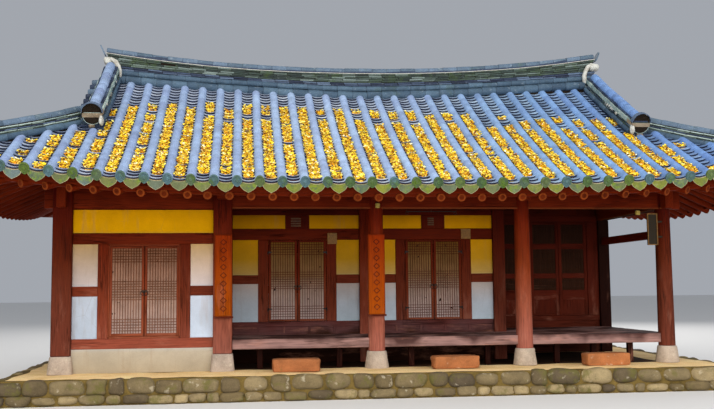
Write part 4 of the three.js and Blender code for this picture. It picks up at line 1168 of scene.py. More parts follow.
def rafter_places(slope):
    straight = straight_count(slope)
    first = (straight + 0.5) * RAFTER_PITCH
    last = slope.half - RAFTER_START - 0.2
    count = round((last - first) / FAN_PITCH)
    fan = [first + (last - first) * index / count for index in range(count + 1)]
    aside = RAFTER_ASIDE if slope.shift == 0 else 0.0
    inside = [(index + 0.5) * RAFTER_PITCH + aside for index in range(-straight, straight)]
    return [-place for place in fan] + inside + fan


def rafters(slope, piece):
    for along in rafter_places(slope):
        outer, inner = rafter_ends(slope, along)
        pole(piece, outer, inner, RAFTER_RADIUS * 1.08, RAFTER_RADIUS * 0.96, 16, 3)
        way = (inner - outer) / np.linalg.norm(inner - outer)
        start, end = outer - way * 0.004, outer + way * 0.01
        pole(piece, start, end, RAFTER_RADIUS * 1.02, mark=0.1, kind=1)
        pole(piece, outer - way * 0.007, outer, RAFTER_RADIUS * 0.62, sides=12, kind=2)


def hip_rafter(piece, sign_x, sign_y):
    """The heavy squared rafter under a hip, cut to a slant at its end."""
    rings = []
    grain = []
    for depth, drop in ((0.17, 0.09), (0.42, 0.17), (1.0, 0.19), (1.9, 0.19)):
        place = np.array([sign_x * (ROOF_X - depth), sign_y * (ROOF_Y - depth), 0])
        z = board_under(depth, ROOF_X - depth)
        aside = np.array([-sign_y, sign_x, 0]) * 0.09 / math.sqrt(2)
        ring = []
        for side, height in ((-1, -drop), (1, -drop), (1, 0.06), (-1, 0.06)):
            ring.append(place + aside * side + (0, 0, z + height))
        rings.append(ring)
        own = ((-0.09, -0.2), (0.09, -0.2), (0.09, 0), (-0.09, 0))
        grain.append([(depth * 1.4, side, height) for side, height in own])
    loft(piece, rings, 0.4, grain=grain)


def eaves():
    for name, slope in SLOPES.items():
        roof_deck(slope).build(f"roof_deck_{name}", "clay soffit", "timber", replaces=[f"roof_{name}"])
        wood = Piece()
        eave_battens(slope, wood)
        rafters(slope, wood)
        wood.build(f"rafters_{name}", "eave rafter_end heart", "timber")
    hips = Piece()
    for sign_x, sign_y in CORNERS.values():
        hip_rafter(hips, sign_x, sign_y)
    hips.build("hip_rafters", "eave", "timber")


# Ridges follow a track: a curve with its across direction and its height
class Track:
    """A ridge's base line, measured along its length."""

    def __init__(self, place, across, height, low, high):
        self.place = place
        self.across_at = across
        self.height_at = height
        self.values = np.linspace(low, high, 61)
        points = np.array([place(value) for value in self.values])
        steps = np.linalg.norm(np.diff(points, axis=0), axis=1)
        self.lengths = np.concatenate([[0], np.cumsum(steps)])
        self.length = self.lengths[-1]

    def value(self, run):
        inside = np.interp(run, self.lengths, self.values)
        pace = (self.values[-1] - self.values[0]) / self.length
        past = max(0.0, run - self.length) + min(0.0, run)
        return inside + past * pace

    def frame(self, run):
        """Base point, direction, across and upward at a length along the track."""
        value = self.value(run)
        step = 0.01 * (1 if self.values[-1] > self.values[0] else -1)
        along = np.array(self.place(value + step)) - np.array(self.place(value - step))
        along = along / np.linalg.norm(along)
        across = np.array(self.across_at, float)
        above = np.cross(across, along)
        above *= 1 if above[2] > 0 else -1
        return np.array(self.place(value)), along, across, above

    def point(self, run, side, up):
        base, _, across, above = self.frame(run)
        return base + across * side + above * up

    def height(self, run):
        return self.height_at(self.value(run))


def at(value, run):
    """A value that is the same all along a ridge, or a function's value at one place."""
    return value(run) if callable(value) else value


def cut_across(low_half, low, high_half, high):
    """The corners of a body across a ridge, from half its width and its height below and above."""
    return [(-low_half, low), (low_half, low), (high_half, high), (-high_half, high)]


def roll(
    piece, track, side, up, radius, start=0.0, end=None, tile_long=0.28,
    kind=0, sides=14, taper=0.05, floor=-1.0,
):
    """Round tiles end to end along a ridge. Up is a height, or a function of the length along it."""
    end = track.length if end is None else end
    count, step = shares(start, end, tile_long)
    turn = full_turn(sides)
    circle = np.column_stack([np.cos(turn), np.maximum(np.sin(turn), floor)])
    for index in range(count):
        shake = draw.normal(size=2) * 0.003
        rings = []
        for place, size in ((0.0, 0.93), (0.04, 1.0), (0.96, 1 - taper), (1.03, 0.9 - taper)):
            run = start + (index + place) * step
            base, _, across, above = track.frame(run)
            centre = base + across * (side + shake[0]) + above * (at(up, run) + shake[1])
            rings.append(centre + radius * size * (circle @ [across, above]))
        marks = np.repeat([0.9, 0.0, 0.0, 0.6], sides)
        loft(piece, rings, mark=marks, kind=kind)


def course(piece, track, low, high, half, start=0.0, end=None, tile_long=0.26, kind=0, shake=0.006):
    """One layer of flat tiles. Low and high are numbers, or functions of the length along the ridge."""
    end = track.length if end is None else end
    count, step = shares(start, end, tile_long)
    offset = draw.uniform(0, 0.5)
    for index in range(count + 1):
        first = max(start, start + (index - offset) * step + COURSE_GAP)
        last = min(end, start + (index + 1 - offset) * step - COURSE_GAP)
        if last - first < 0.03:
            continue
        wide = half + draw.normal() * shake
        tip = draw.normal(size=2) * 0.0018
        rings = []
        for run, twist in ((first, tip[0]), (last, tip[1])):
            corners = cut_across(wide, at(low, run) + twist, wide, at(high, run) + twist)
            rings.append([track.point(run, side, up) for side, up in corners])
        loft(piece, rings, kind=kind)


def band(piece, track, outline, start=0.0, end=None, rough=0.0, kind=0, steps=24, tone=0.5):
    """A continuous body along a ridge. Outline is its corners, or a function that gives them."""
    end = track.length if end is None else end
    rings = []
    for run in np.linspace(start, end, steps):
        wander = draw.normal(size=2) * rough
        rings.append([track.point(run, side + wander[0], up + wander[1]) for side, up in at(outline, run)])
    loft(piece, rings, tone, kind=kind)


def lump(piece, centre, size, kind=0, rough=0.13):
    """A hand-laid dab of mortar."""
    stone(piece, np.asarray(centre, float), np.asarray(size, float), 2.3, 4, rough, kind=kind)


COURSE_GAP = 0.004
RIDGE_LAYERS = 7
CAP_RADIUS = 0.062
# The ridges' dark core is painted shade in their gaps and hollows.
RIDGE_PARTS = "roll course mortar cap clay hollow barrel block green"
ROLL, COURSE, MORTAR, CAP, CLAY, CORE_SHADE, WING, BLOCK, GREEN = range(9)


def main_ridge():
    """Rolls at the foot, thin courses over them, a white joint and a slim cap."""
    piece = Piece()

    def base(x):
        return tile_top(ROOF_Y, abs(x))

    def height(x):
        return RIDGE_TOP + RIDGE_TIP_LIFT * (abs(x) / VERGE_X) ** 2.2 + RIDGE_LEAN * x - base(x)

    track = Track(lambda x: (x, 0, base(x)), (0, 1, 0), height, -RIDGE_HALF, RIDGE_HALF)

    def foot(run, up=0.0):
        return 0.05 * ((track.value(run) + 1.2) / 4.2) ** 2 - 0.025 + up

    def head(run, up=0.0):
        return track.height(run) - 0.124 + up

    for side in (-1, 1):
        for out, up, radius, gap in ((0.15, 0.018, 0.079, 0.12), (0.118, 0.15, 0.054, 0.05)):
            end = track.length - gap
            roll(piece, track, side * out, lambda run: foot(run, up), radius, gap, end, kind=ROLL)
    for layer in range(RIDGE_LAYERS):

        def level(run, part=0.0):
            low = foot(run, 0.205)
            return low + (head(run) - low) * (layer + part) / RIDGE_LAYERS

        half = 0.134 - 0.003 * layer - 0.007 * (layer % 2)
        kind = COURSE if layer < 2 else GREEN
        end = track.length - 0.03
        course(piece, track, level, lambda run: level(run, 0.74), half, 0.03, end, kind=kind)
    bodies = [
        # The two dark inner bodies are painted shade, seen in the gaps under the rolls and courses.
        (lambda run: cut_across(0.15, -0.12, 0.13, foot(run, 0.03)), CORE_SHADE, 0.1),
        (lambda run: cut_across(0.12, -0.12, 0.098, head(run)), CORE_SHADE, 0.05),
        (lambda run: cut_across(0.112, head(run, -0.003), 0.106, head(run, 0.009)), MORTAR, 0.0),
        (lambda run: cut_across(0.07, head(run), 0.05, head(run, 0.08)), COURSE, 0.01),
    ]
    for outline, kind, gap in bodies:
        band(piece, track, outline, gap, track.length - gap, 0.001, kind, 48)
    top = lambda run: track.height(run) - CAP_RADIUS
    roll(piece, track, 0.0, top, CAP_RADIUS, kind=CAP, sides=18, taper=0.02)
    for end in (-1, 1):
        ridge_tip(piece, track, end)
    piece.build("main_ridge_tiles", RIDGE_PARTS, "ridge", replaces=["main_ridge"])


SEAM = [
    (4.63, 0.12, 5.9), (4.565, 0.15, 5.932), (4.49, 0.17, 5.88), (4.44, 0.18, 5.795),
    (4.407, 0.19, 5.7), (4.41, 0.2, 5.6), (4.43, 0.2, 5.53),
]


def ridge_tip(piece, track, end):
    """The leaning end tile, the mortar behind it, and the pale seam round the head of each steep ridge."""
    run = track.length if end > 0 else 0.0
    total = track.height(run)
    for index in range(6):
        part = index / 5
        centre = track.point(run - end * 0.07, 0, 0.08 + part * (total - 0.32))
        lump(piece, centre, (0.055, 0.11 - 0.02 * part, 0.08), MORTAR)
    outline = [(-0.09, 0.0), (0.09, 0.0), (0.1, 0.1), (0.07, 0.17), (0.0, 0.2), (-0.07, 0.17), (-0.1, 0.1)]
    low = track.point(run, 0, total - 0.15)[2]
    plate = []
    for x in (4.685, 4.707):
        plate.append([(end * (x + 0.45 * up), y, low + up) for y, up in outline])
    loft(piece, plate, kind=CAP)
    rise = RIDGE_LEAN * end * 4.6
    for side in (-1, 1):
        path = [(end * x, side * y, z + rise) for x, y, z in SEAM]
        seam(piece, path, 0.04, MORTAR)
        lump(piece, path[0], (0.085, 0.07, 0.08), MORTAR, 0.08)


def seam(piece, path, radius, kind):
    """A hand-pressed mortar seam along a path."""
    path = np.array(path, float)
    rings = []
    for index, (place, way) in enumerate(zip(path, np.gradient(path, axis=0))):
        way = way / np.linalg.norm(way)
        across = np.cross(way, (0, 1, 0))
        across /= np.linalg.norm(across)
        size = radius * (0.5 if index in (0, len(path) - 1) else 1 + 0.1 * draw.normal())
        rings.append(place + size * around(10, across, np.cross(across, way)))
    loft(piece, rings, kind=kind)


def descending_ridge(piece, sign_x, sign_y):
    """The steep ridge down a gable edge, with its open round end."""

    def place(y):
        return (sign_x * DESCENT_X, sign_y * y, tile_top(ROOF_Y - y, DESCENT_X) - 0.02 * sign_x)

    track = Track(place, (1, 0, 0), lambda y: 0.44, 0.12, DESCENT_END - 0.2)
    for side in (-1, 1):
        roll(piece, track, side * 0.125, 0.118, 0.055, 0.05, track.length - 0.1, kind=ROLL)
    layers = [
        (0.0, 0.06, 0.16, 0.22, COURSE),
        (0.172, 0.188, 0.15, 0.2, GREEN),
        (0.194, 0.208, 0.145, 0.2, COURSE),
        (0.213, 0.229, 0.142, 0.2, GREEN),
        (0.235, 0.303, 0.136, 0.14, BLOCK),
        (0.308, 0.33, 0.118, 0.2, COURSE),
    ]
    for low, high, half, long, kind in layers:
        course(piece, track, low, high, half, tile_long=long, kind=kind, shake=0.004)
    band(piece, track, cut_across(0.12, -0.1, 0.1, 0.32), 0.0, track.length - 0.03, kind=COURSE)
    roll(
        piece, track, 0.0, 0.345, 0.084, 0.04, track.length - 0.1, kind=WING, sides=20, taper=0.02,
        floor=-0.2,
    )
    for _ in range(6):
        run = draw.uniform(0.15, 0.85) * track.length
        place = track.point(run, -sign_x * 0.118, 0.2 + 0.03 * draw.random())
        lump(piece, place, (0.03, 0.045, 0.03), MORTAR)
    open_end(piece, track, sign_x)
    wings(piece, track, sign_x)


def arch(piece, track, start, end, radius, thick, up, kind, sides=16, spread=95, way=1):
    """An open half-round tile of even thickness. Way is -1 for one that lies on its back."""
    turn = np.radians(np.linspace(-spread, spread, sides))
    rings = []
    for run, size in ((start, 0.97), (end - 0.01, 1.0), (end, 0.985)):
        base, _, across, above = track.frame(run)
        centre = base + above * up
        ring = []
        for angle in turn:
            ring.append(centre + size * radius * (math.sin(angle) * across + way * math.cos(angle) * above))
        for angle in turn[::-1]:
            inner = size * radius - thick
            ring.append(centre + inner * (math.sin(angle) * across + way * math.cos(angle) * above))
        rings.append(ring)
    points = np.array(rings)
    piece.add(points, strip_faces(3, 2 * sides), kind=kind)


def half_round(radius, up, way):
    """The outline of a half circle that stands on a height, or hangs from it when way is -1."""
    turn = np.radians(np.linspace(-90, 90, 9))
    return [(radius * math.sin(angle), up + way * radius * math.cos(angle)) for angle in turn]


def open_end(piece, track, sign_x):
    """The foot of the steep ridge: a wide open arch, a mortar band and a tile on its back, with dark fills in
    their hollows as painted shade.
    """
    end = track.length
    arch(piece, track, end - 0.07, end + 0.02, 0.17, 0.009, 0.31, COURSE, spread=90)
    # Dark plug inside the arch: painted shade.
    band(piece, track, half_round(0.162, 0.297, 1), end - 0.066, end - 0.02, kind=CORE_SHADE, steps=3)
    sill = cut_across(0.152, 0.236, 0.152, 0.298)
    band(piece, track, sill, end - 0.25, end + 0.012, 0.002, CLAY, 6, 0.9)
    arch(piece, track, end - 0.2, end + 0.012, 0.15, 0.007, 0.262, BLOCK, 14, 80, -1)
    # Dark fill under the tile on its back: painted shade.
    band(piece, track, half_round(0.144, 0.252, -1), end - 0.2, end + 0.006, kind=CORE_SHADE, steps=3)
    lump(piece, track.point(end - 0.03, sign_x * 0.02, 0.07), (0.06, 0.06, 0.045), CLAY)
    lump(piece, track.point(end + 0.01, -sign_x * 0.14, 0.185), (0.034, 0.05, 0.078), MORTAR, 0.08)


def wings(piece, track, sign_x):
    """Short tiles that point out over the gable from under the steep ridge."""
    count = int((track.length - 0.3) / 0.26)
    section = cover_outline(9, 0.8) * 0.052
    flat = np.array([
        (-0.075, 0.02), (0.0, -0.012), (0.075, 0.02), (0.075, 0.0), (0.0, -0.034), (-0.075, 0.0),
    ])
    for index in range(count + 1):
        run = 0.22 + index * (track.length - 0.42) / count
        base, along, across, above = track.frame(run)
        rings = []
        for out, size in ((0.08, 0.95), (0.31, 1.0), (0.32, 0.94)):
            centre = base + across * sign_x * out + above * (0.12 - 0.1 * out)
            rings.append(centre + size * (section @ [along, above]))
        marks = np.repeat([0.0, 0.0, 0.8], len(section))
        loft(piece, rings, mark=marks, kind=COURSE if draw.random() < 0.45 else CAP)
        between = run + 0.5 * (track.length - 0.42) / count
        base, along, across, above = track.frame(between)
        rings = []
        for out in (0.08, 0.31):
            centre = base + across * sign_x * out + above * (0.09 - 0.1 * out)
            rings.append(centre + flat @ [along, above])
        piece.add(np.array(rings), strip_faces(2, 6), kind=COURSE)


def hip_ridge(piece, sign_x, sign_y):
    """The ridge from the foot of the steep ridge out to the corner."""

    def place(depth):
        z = tile_top(depth, ROOF_X - depth) + 0.01 - 0.02 * sign_x
        return (sign_x * (ROOF_X - depth), sign_y * (ROOF_Y - depth), z)

    across = np.array([-sign_y, sign_x, 0]) / math.sqrt(2)
    track = Track(place, across, lambda depth: 0.22, ROOF_X - DESCENT_X - 0.02, 0.05)
    for side in (-1, 1):
        roll(piece, track, side * 0.094, 0.028, 0.055, 0.05, track.length - 0.05, tile_long=0.32, kind=ROLL)
    for layer, kind in enumerate((GREEN, BLOCK, COURSE, GREEN, BLOCK)):
        low = 0.08 + 0.023 * layer
        half = 0.112 - 0.005 * layer - 0.006 * (layer % 2)
        course(piece, track, low, low + 0.016, half, tile_long=0.22, kind=kind)
    # The dark inner body is painted shade between the courses.
    band(piece, track, cut_across(0.09, -0.12, 0.076, 0.2), 0.0, track.length - 0.03, kind=CORE_SHADE)
    roll(piece, track, 0.0, 0.226, 0.064, kind=CAP, sides=16, floor=-0.5)
    end = track.length
    arch(piece, track, end - 0.06, end + 0.025, 0.1, 0.018, 0.11, ROLL, 14)
    lump(piece, track.point(end - 0.01, 0, 0.1), (0.07, 0.07, 0.055), CLAY)
    lump(piece, track.point(end - 0.015, 0, 0.225), (0.055, 0.055, 0.055), MORTAR)


def corner_ridges():
    for name in ("front_left", "front_right", "rear_left", "rear_right"):
        piece = Piece()
        descending_ridge(piece, *CORNERS[name])
        hip_ridge(piece, *CORNERS[name])
        replaces = [f"corner_ridge_{name}"]
        piece.build(f"corner_ridge_tiles_{name}", RIDGE_PARTS, "ridge", replaces=replaces)


def gables():
    """Upright boards in each gable and a deep board along its sloping edges."""
    for name, sign in (("left", -1), ("right", 1)):
        piece = Piece()
        low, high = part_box(f"gable_{name}")
        foot = low[2] - 0.05
        inner, outer = sorted((abs(low[0]), abs(high[0])))
        width = 0.17
        count = math.ceil(high[1] / width)
        for index in range(-count, count):
            left, right = index * width + 0.004, (index + 1) * width - 0.004
            tops = [tile_top(ROOF_Y - abs(y), GABLE_X) - 0.12 for y in (left, right)]
            if min(tops) < foot + 0.05:
                continue
            rings = []
            for x in (inner + 0.008, outer + 0.006 + draw.random() * 0.004):
                rings.append([(sign * x, left, foot), (sign * x, right, foot),
                              (sign * x, right, tops[1]), (sign * x, left, tops[0])])
            grain = [(0, y, x) for x in (0, 0.05) for y in (left, right, right, left)]
            grain = np.array(grain) + draw.random(3) * 9
            grain[:, 0] = np.array(rings).reshape(-1, 3)[:, 2]
            loft(piece, rings, grain=grain)
        for side in (-1, 1):
            rings = []
            grain = []
            for y in np.linspace(0.0, 2.62, 14):
                top = tile_top(ROOF_Y - y, VERGE_X) - 0.035
                deep = 0.25 + 0.03 * y
                rings.append([(sign * x, side * y, z) for x, z in (
                    (4.672, top), (4.712, top), (4.712, top - deep), (4.672, top - deep))])
                grain.append([(y * 1.15, x, z) for x, z in ((0, 0), (0.04, 0), (0.04, deep), (0, deep))])
            loft(piece, rings, 0.5, grain=grain)
        piece.build(f"gable_boards_{name}", "eave", "gable", replaces=[f"gable_{name}"])


# Stone base
PLATFORM_HALF = np.array(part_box("stone_platform")[1][:2])
BATTER = 0.06


def platform():
    """Two courses of field stones in mortar round a sand-topped core."""
    core = Piece()
    half = PLATFORM_HALF - 0.07
    rings = []
    for grow, z in ((0.0, 0.0), (-0.04, PLATFORM_TOP - 0.05), (-0.06, PLATFORM_TOP - 0.012)):
        x, y = half + grow
        rings.append([(-x, -y, z), (x, -y, z), (x, y, z), (-x, y, z)])
    loft(core, rings, 0.5)
    core.build("platform_joints", "joint", "stone", replaces=["stone_platform"])
    top_skin().build("platform_top", "sand damp", "stone", sharp=60)
    stones = Piece()
    for axis in (0, 1):
        for side in (-1, 1):
            stone_face(stones, axis, side)
    stones.build("field_stones", "stone", "stone", sharp=70)


def top_skin():
    """The trodden top of the platform, with a soft uneven edge and dark earth under the veranda floor as
    painted shade.
    """
    piece = Piece()
    x, y = PLATFORM_HALF - 0.15
    across, deep = np.meshgrid(np.linspace(-x, x, 70), np.linspace(-y, y, 36), indexing="ij")
    edge = np.minimum(x - abs(across), y - abs(deep))
    wave = 0.004 * np.sin(across * 3.1 + deep * 1.7) + 0.003 * np.sin(across * 7.3 - deep * 5.1)
    top = PLATFORM_TOP - 0.002 + wave - 0.02 * np.exp(-edge * 14)
    upper = np.stack([across, deep, top], -1).reshape(-1, 3)
    lower = upper * (1, 1, 0) + (0, 0, PLATFORM_TOP - 0.06)

    def shaded(centre):
        x, y = centre[:, 0], centre[:, 1]
        under_floor = (y > Y_FRONT + 0.12) & (y < Y_BACK)
        return under_floor & (x > COLUMNS[1]) & (x < COLUMNS[4] - 0.1)

    slab(piece, upper, lower, 0.5, across.shape, [0, 1, 0, 0], shaded)
    return piece


def stone_face(piece, axis, side):
    """One face of the platform: smaller stones below, broad flat ones above."""
    length = PLATFORM_HALF[axis]
    away = PLATFORM_HALF[1 - axis]
    for low, high, sizes in ((0.018, 0.155, (0.18, 0.42)), (0.15, PLATFORM_TOP + 0.006, (0.24, 0.54))):
        place = -length + 0.02
        while place < length - 0.08:
            wide = min(draw.uniform(*sizes), length - place)
            if length - place - wide < 0.12:
                wide = length - place - 0.01
            top = high - abs(draw.normal()) * 0.018
            tall = (top - low) / 2
            lean = BATTER * (low + tall) / PLATFORM_TOP
            deep = draw.uniform(0.1, 0.13)
            centre = np.zeros(3)
            centre[axis] = place + wide / 2
            centre[1 - axis] = side * (away - lean - deep + draw.normal() * 0.006)
            centre[2] = low + tall
            half = np.zeros(3)
            half[axis] = wide / 2 - 0.006
            half[1 - axis] = deep
            half[2] = tall + 0.004
            stone(piece, centre, half, draw.uniform(2.7, 4.6), 6, 0.042)
            place += wide


def bases():
    for line, x in enumerate(COLUMNS, 1):
        piece = Piece()
        square = line < 3
        foot, head = (0.195, 0.165) if square else (0.2, 0.16)
        power = 14.0 if square else 2.0
        turn = full_turn(32) + math.pi / 32
        rings = []
        tall = STONE_TOP - PLATFORM_TOP
        levels = [(0.0, 0.97), (0.02, 1.0), (0.14, 0.99), (0.25, 1.0), (0.27, 0.975), (tall, 0.93)]
        for height, size in levels:
            radius = foot + (head - foot) * height / tall
            wave = 1 + 0.008 * np.sin(turn * 3 + height * 20 + line)
            shape = (abs(np.cos(turn)) ** power + abs(np.sin(turn)) ** power) ** (-1 / power) * wave
            reach = radius * size * shape
            place = x + reach * np.cos(turn), Y_FRONT + reach * np.sin(turn)
            rings.append(np.column_stack([*place, np.full(32, PLATFORM_TOP + height)]))
        loft(piece, rings)
        piece.build(f"base_block_{line}", "base", "base_stone", replaces=[f"base_stone_{line}"], sharp=50)


def step_blocks():
    for bay in (2, 3, 4):
        piece = Piece()
        low, high = (np.array(corner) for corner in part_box(f"step_block_{bay}"))
        centre, half = (low + high) / 2, (high - low) / 2
        stone(piece, centre + (0, 0, 0.002), half, 14.0, 8, 0.006)
        piece.build(f"step_stone_{bay}", "step", "base_stone", replaces=[f"step_block_{bay}"], sharp=50)


# Posts and beams
def squared_timber(name, part, axis, tone, look):
    """A timber as large as the part it stands for."""
    piece = Piece()
    bar(piece, *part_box(part), axis, 0.008, tone)
    piece.build(name, look, "timber", replaces=[part])


def columns():
    for line, x in enumerate(COLUMNS, 1):
        piece = Piece()
        if line < 3:
            half = SQUARE_COLUMN / 2
            low = (x - half, Y_FRONT - half, STONE_TOP)
            bar(piece, low, (x + half, Y_FRONT + half, COLUMN_TOP), 2, 0.012, 0.8)
        else:
            foot, head = (x, Y_FRONT, STONE_TOP), (x, Y_FRONT, COLUMN_TOP)
            pole(piece, foot, head, 0.14, 0.123, 28, 10, 0.9, up=(0, 1, 0))
        key = {1: "end_post", 2: "post_2", 5: "end_post"}.get(line, "post")
        piece.build(f"front_post_{line}", key, "timber", replaces=[f"column_front_{line}"])
    squared_timber("mid_post_3", "post_mid_3", 2, 0.8, "rail")


def head_beams():
    """A squared board with a proud lower lip, and the round purlin on it."""
    for name, axis in (("front", 0), ("rear", 0), ("left", 1), ("right", 1)):
        piece = Piece()
        low, high = (np.array(corner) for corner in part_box(f"head_beam_{name}"))
        middle = (low + high) / 2
        radius = 0.13
        centre = high[2] - radius
        board_low, board_high = low.copy(), high.copy()
        board_low[1 - axis] = middle[1 - axis] - 0.07
        board_high[1 - axis] = middle[1 - axis] + 0.07
        board_high[2] = centre - 0.1
        # The front and rear boards take the darker beam timber as painted shade; the side boards keep the lit
        # eave timber.
        bar(piece, board_low, board_high, axis, 0.008, 0.7, kind=1 - axis)
        lip_low, lip_high = board_low.copy(), board_high.copy()
        lip_low[1 - axis] -= 0.014
        lip_high[1 - axis] += 0.014
        lip_low[axis] += 0.16 if name != "front" else COLUMNS[1] + 0.08 - low[0]
        lip_high[axis] -= 0.16
        lip_high[2] = lip_low[2] + 0.026
        # The lip's mark lightens it: a painted highlight along its edge.
        bar(piece, lip_low, lip_high, axis, 0.004, 1.0, mark=0.4)
        start, end = middle.copy(), middle.copy()
        start[axis], end[axis] = low[axis], high[axis]
        start[2] = end[2] = centre
        pole(piece, start, end, radius, sides=28, steps=4, tone=0.6)
        piece.build(f"head_timbers_{name}", "eave eave_dark", "timber", replaces=[f"head_beam_{name}"])


# Walls: timbers stand proud of the plaster between them
SILL = (PLATFORM_TOP + 0.377, PLATFORM_TOP + 0.537)
MIDDLE = (PLATFORM_TOP + 1.205, PLATFORM_TOP + 1.36)
UPPER = (PLATFORM_TOP + 2.03, PLATFORM_TOP + 2.206)
MID_SILL = (PLATFORM_TOP + 0.62, SILL_TOP)
MID_MIDDLE = (PLATFORM_TOP + 1.385, PLATFORM_TOP + 1.54)
MID_UPPER = (DOOR_HEAD, PLATFORM_TOP + 2.36)
WALL_PLATE = (BEAM_UNDER, BEAM_UNDER + 0.14)
DEEP = RAIL_DEPTH / 2
THIN = PLASTER_DEPTH / 2
PANEL_PROUD = 0.008


class Wall:
    """A wall along one axis, at one place on the other. Kind 0 is timber and kind 1 is plaster."""

    def __init__(self, axis, place):
        self.piece = Piece()
        self.axis = axis
        self.place = place

    def block(self, ends, levels, deep, axis, kind, chamfer=0.006, tone=None):
        low, high = np.zeros(3), np.zeros(3)
        low[self.axis], high[self.axis] = ends
        low[1 - self.axis] = self.place - deep
        high[1 - self.axis] = self.place + deep
        low[2], high[2] = levels
        bar(self.piece, low, high, axis, chamfer, tone, kind=kind)

    def rail(self, ends, levels, deep=DEEP, tone=None):
        self.block(ends, levels, deep, self.axis, 0, tone=tone)

    def stile(self, ends, levels, deep=DEEP, tone=None, kind=0):
        self.block(ends, levels, deep, 2, kind, tone=tone)

    def fill(self, ends, levels, deep=THIN, tone=0.5):
        self.block(ends, levels, deep, self.axis, 1, 0.002, tone)

    def panels(self, ends, top, proud=PANEL_PROUD):
        """Plaster below and above the sill, and the three rails across it."""
        self.fill(ends, (PLATFORM_TOP, SILL[0] + 0.01), THIN + proud)
        self.fill(ends, (SILL[1] - 0.01, top))
        for levels in (SILL, MIDDLE, UPPER):
            self.rail(ends, levels)

    def build(self, name, looks, replaces, slot="wall"):
        self.piece.build(name, looks, slot, replaces=[replaces])


WINDOW = {"x": (-4.296, -3.171), "z": (SILL[1], UPPER[0])}
WINDOW_STILE = 0.037
WALL_1 = (COLUMNS[0] + SQUARE_COLUMN / 2, COLUMNS[1] - SQUARE_COLUMN / 2)


def front_wall():
    wall = Wall(0, Y_FRONT)
    left, right = WALL_1
    wall.fill((left, right), (PLATFORM_TOP, SILL[0] + 0.01), THIN + 0.012)
    # The left panel is darkened and the right one lightened by their tones: painted light and shade.
    wall.fill((left, WINDOW["x"][0]), (SILL[1], UPPER[0]), tone=0.24)
    wall.fill((WINDOW["x"][1], right), (SILL[1], UPPER[0]), tone=0.88)
    wall.fill((left, right), (UPPER[1], BEAM_UNDER))
    for levels in (SILL, UPPER, (BEAM_UNDER - 0.022, BEAM_UNDER)):
        wall.rail((left, right), levels)
    wall.rail((left, -4.46), MIDDLE)
    wall.rail((-3.01, right), MIDDLE)
    wall.stile((-4.46, WINDOW["x"][0]), (SILL[1], UPPER[0]))
    wall.stile((WINDOW["x"][1], -3.01), (SILL[1], UPPER[0]))
    wall.build("front_wall_bay_1", "rail plaster_1", "wall_front_1")


# Half the width and depth of a lattice bar, and how far the level ones stand proud
LATTICE_BAR = (0.00525, 0.008)
LATTICE_PROUD = 0.0012


def lattice(piece, ends, levels, y, pitch=0.0405, kind=1):
    """Door bars: uprights, and level bars gathered in three bands with open stretches between."""
    left, right = ends
    low, high = levels
    half, deep = LATTICE_BAR
    count, step = shares(left, right, pitch, 3)
    for index in range(1, count):
        x = left + index * step
        bar(piece, (x - half, y - deep, low), (x + half, y + deep, high), 2, 0.002, kind=kind)
    parts = [0.222, 0.321, 0.296, 0.321, 0.23]
    top = high
    for index, part in enumerate(parts):
        bottom = top - part / sum(parts) * (high - low)
        if index % 2 == 0:
            rows, rise = shares(bottom, top, step, 2)
            for row in range(rows + 1):
                z = bottom + rise * row
                if low + 0.004 < z < high - 0.004:
                    front, back = y - deep - LATTICE_PROUD, y + deep - LATTICE_PROUD
                    bar(piece, (left, front, z - half), (right, back, z + half), 0, 0.002, kind=kind)
        top = bottom


def leaf_frame(piece, ends, levels, y0, y1, stile, rails):
    """The outer frame of a leaf: two stiles and the rails between them."""
    left, right = ends
    bar(piece, (left, y0, levels[0]), (left + stile, y1, levels[1]), 2, 0.004)
    bar(piece, (right - stile, y0, levels[0]), (right, y1, levels[1]), 2, 0.004)
    for low, high in rails:
        bar(piece, (left + stile, y0, low), (right - stile, y1, high), 0, 0.004)


def sheet(piece, ends, levels, y, kind):
    """A thin sheet of paper behind the bars."""
    bar(piece, (ends[0], y, levels[0]), (ends[1], y + 0.003, levels[1]), 0, 0.0005, 0.5, kind=kind)


def ring_pull(piece, x, y, z, kind):
    """A small round plate with an iron ring, whose kind is the plate's and 1."""
    pole(piece, (x, y, z), (x, y - 0.006, z), 0.026, 0.024, 16, kind=kind)
    pole(piece, (x, y - 0.004, z + 0.004), (x, y - 0.02, z + 0.004), 0.007, 0.006, 10, kind=kind + 1)
    torus(piece, (x, y - 0.014, z - 0.03), 0.034, 0.0042, kind + 1)


def torus(piece, centre, radius, thick, kind):
    rings = []
    small = full_turn(8)
    for angle in full_turn(20):
        out = radius + thick * np.cos(small)
        ring = np.column_stack([out * math.sin(angle), thick * np.sin(small), out * math.cos(angle)])
        rings.append(np.asarray(centre) + ring)
    tube(piece, rings, kind)


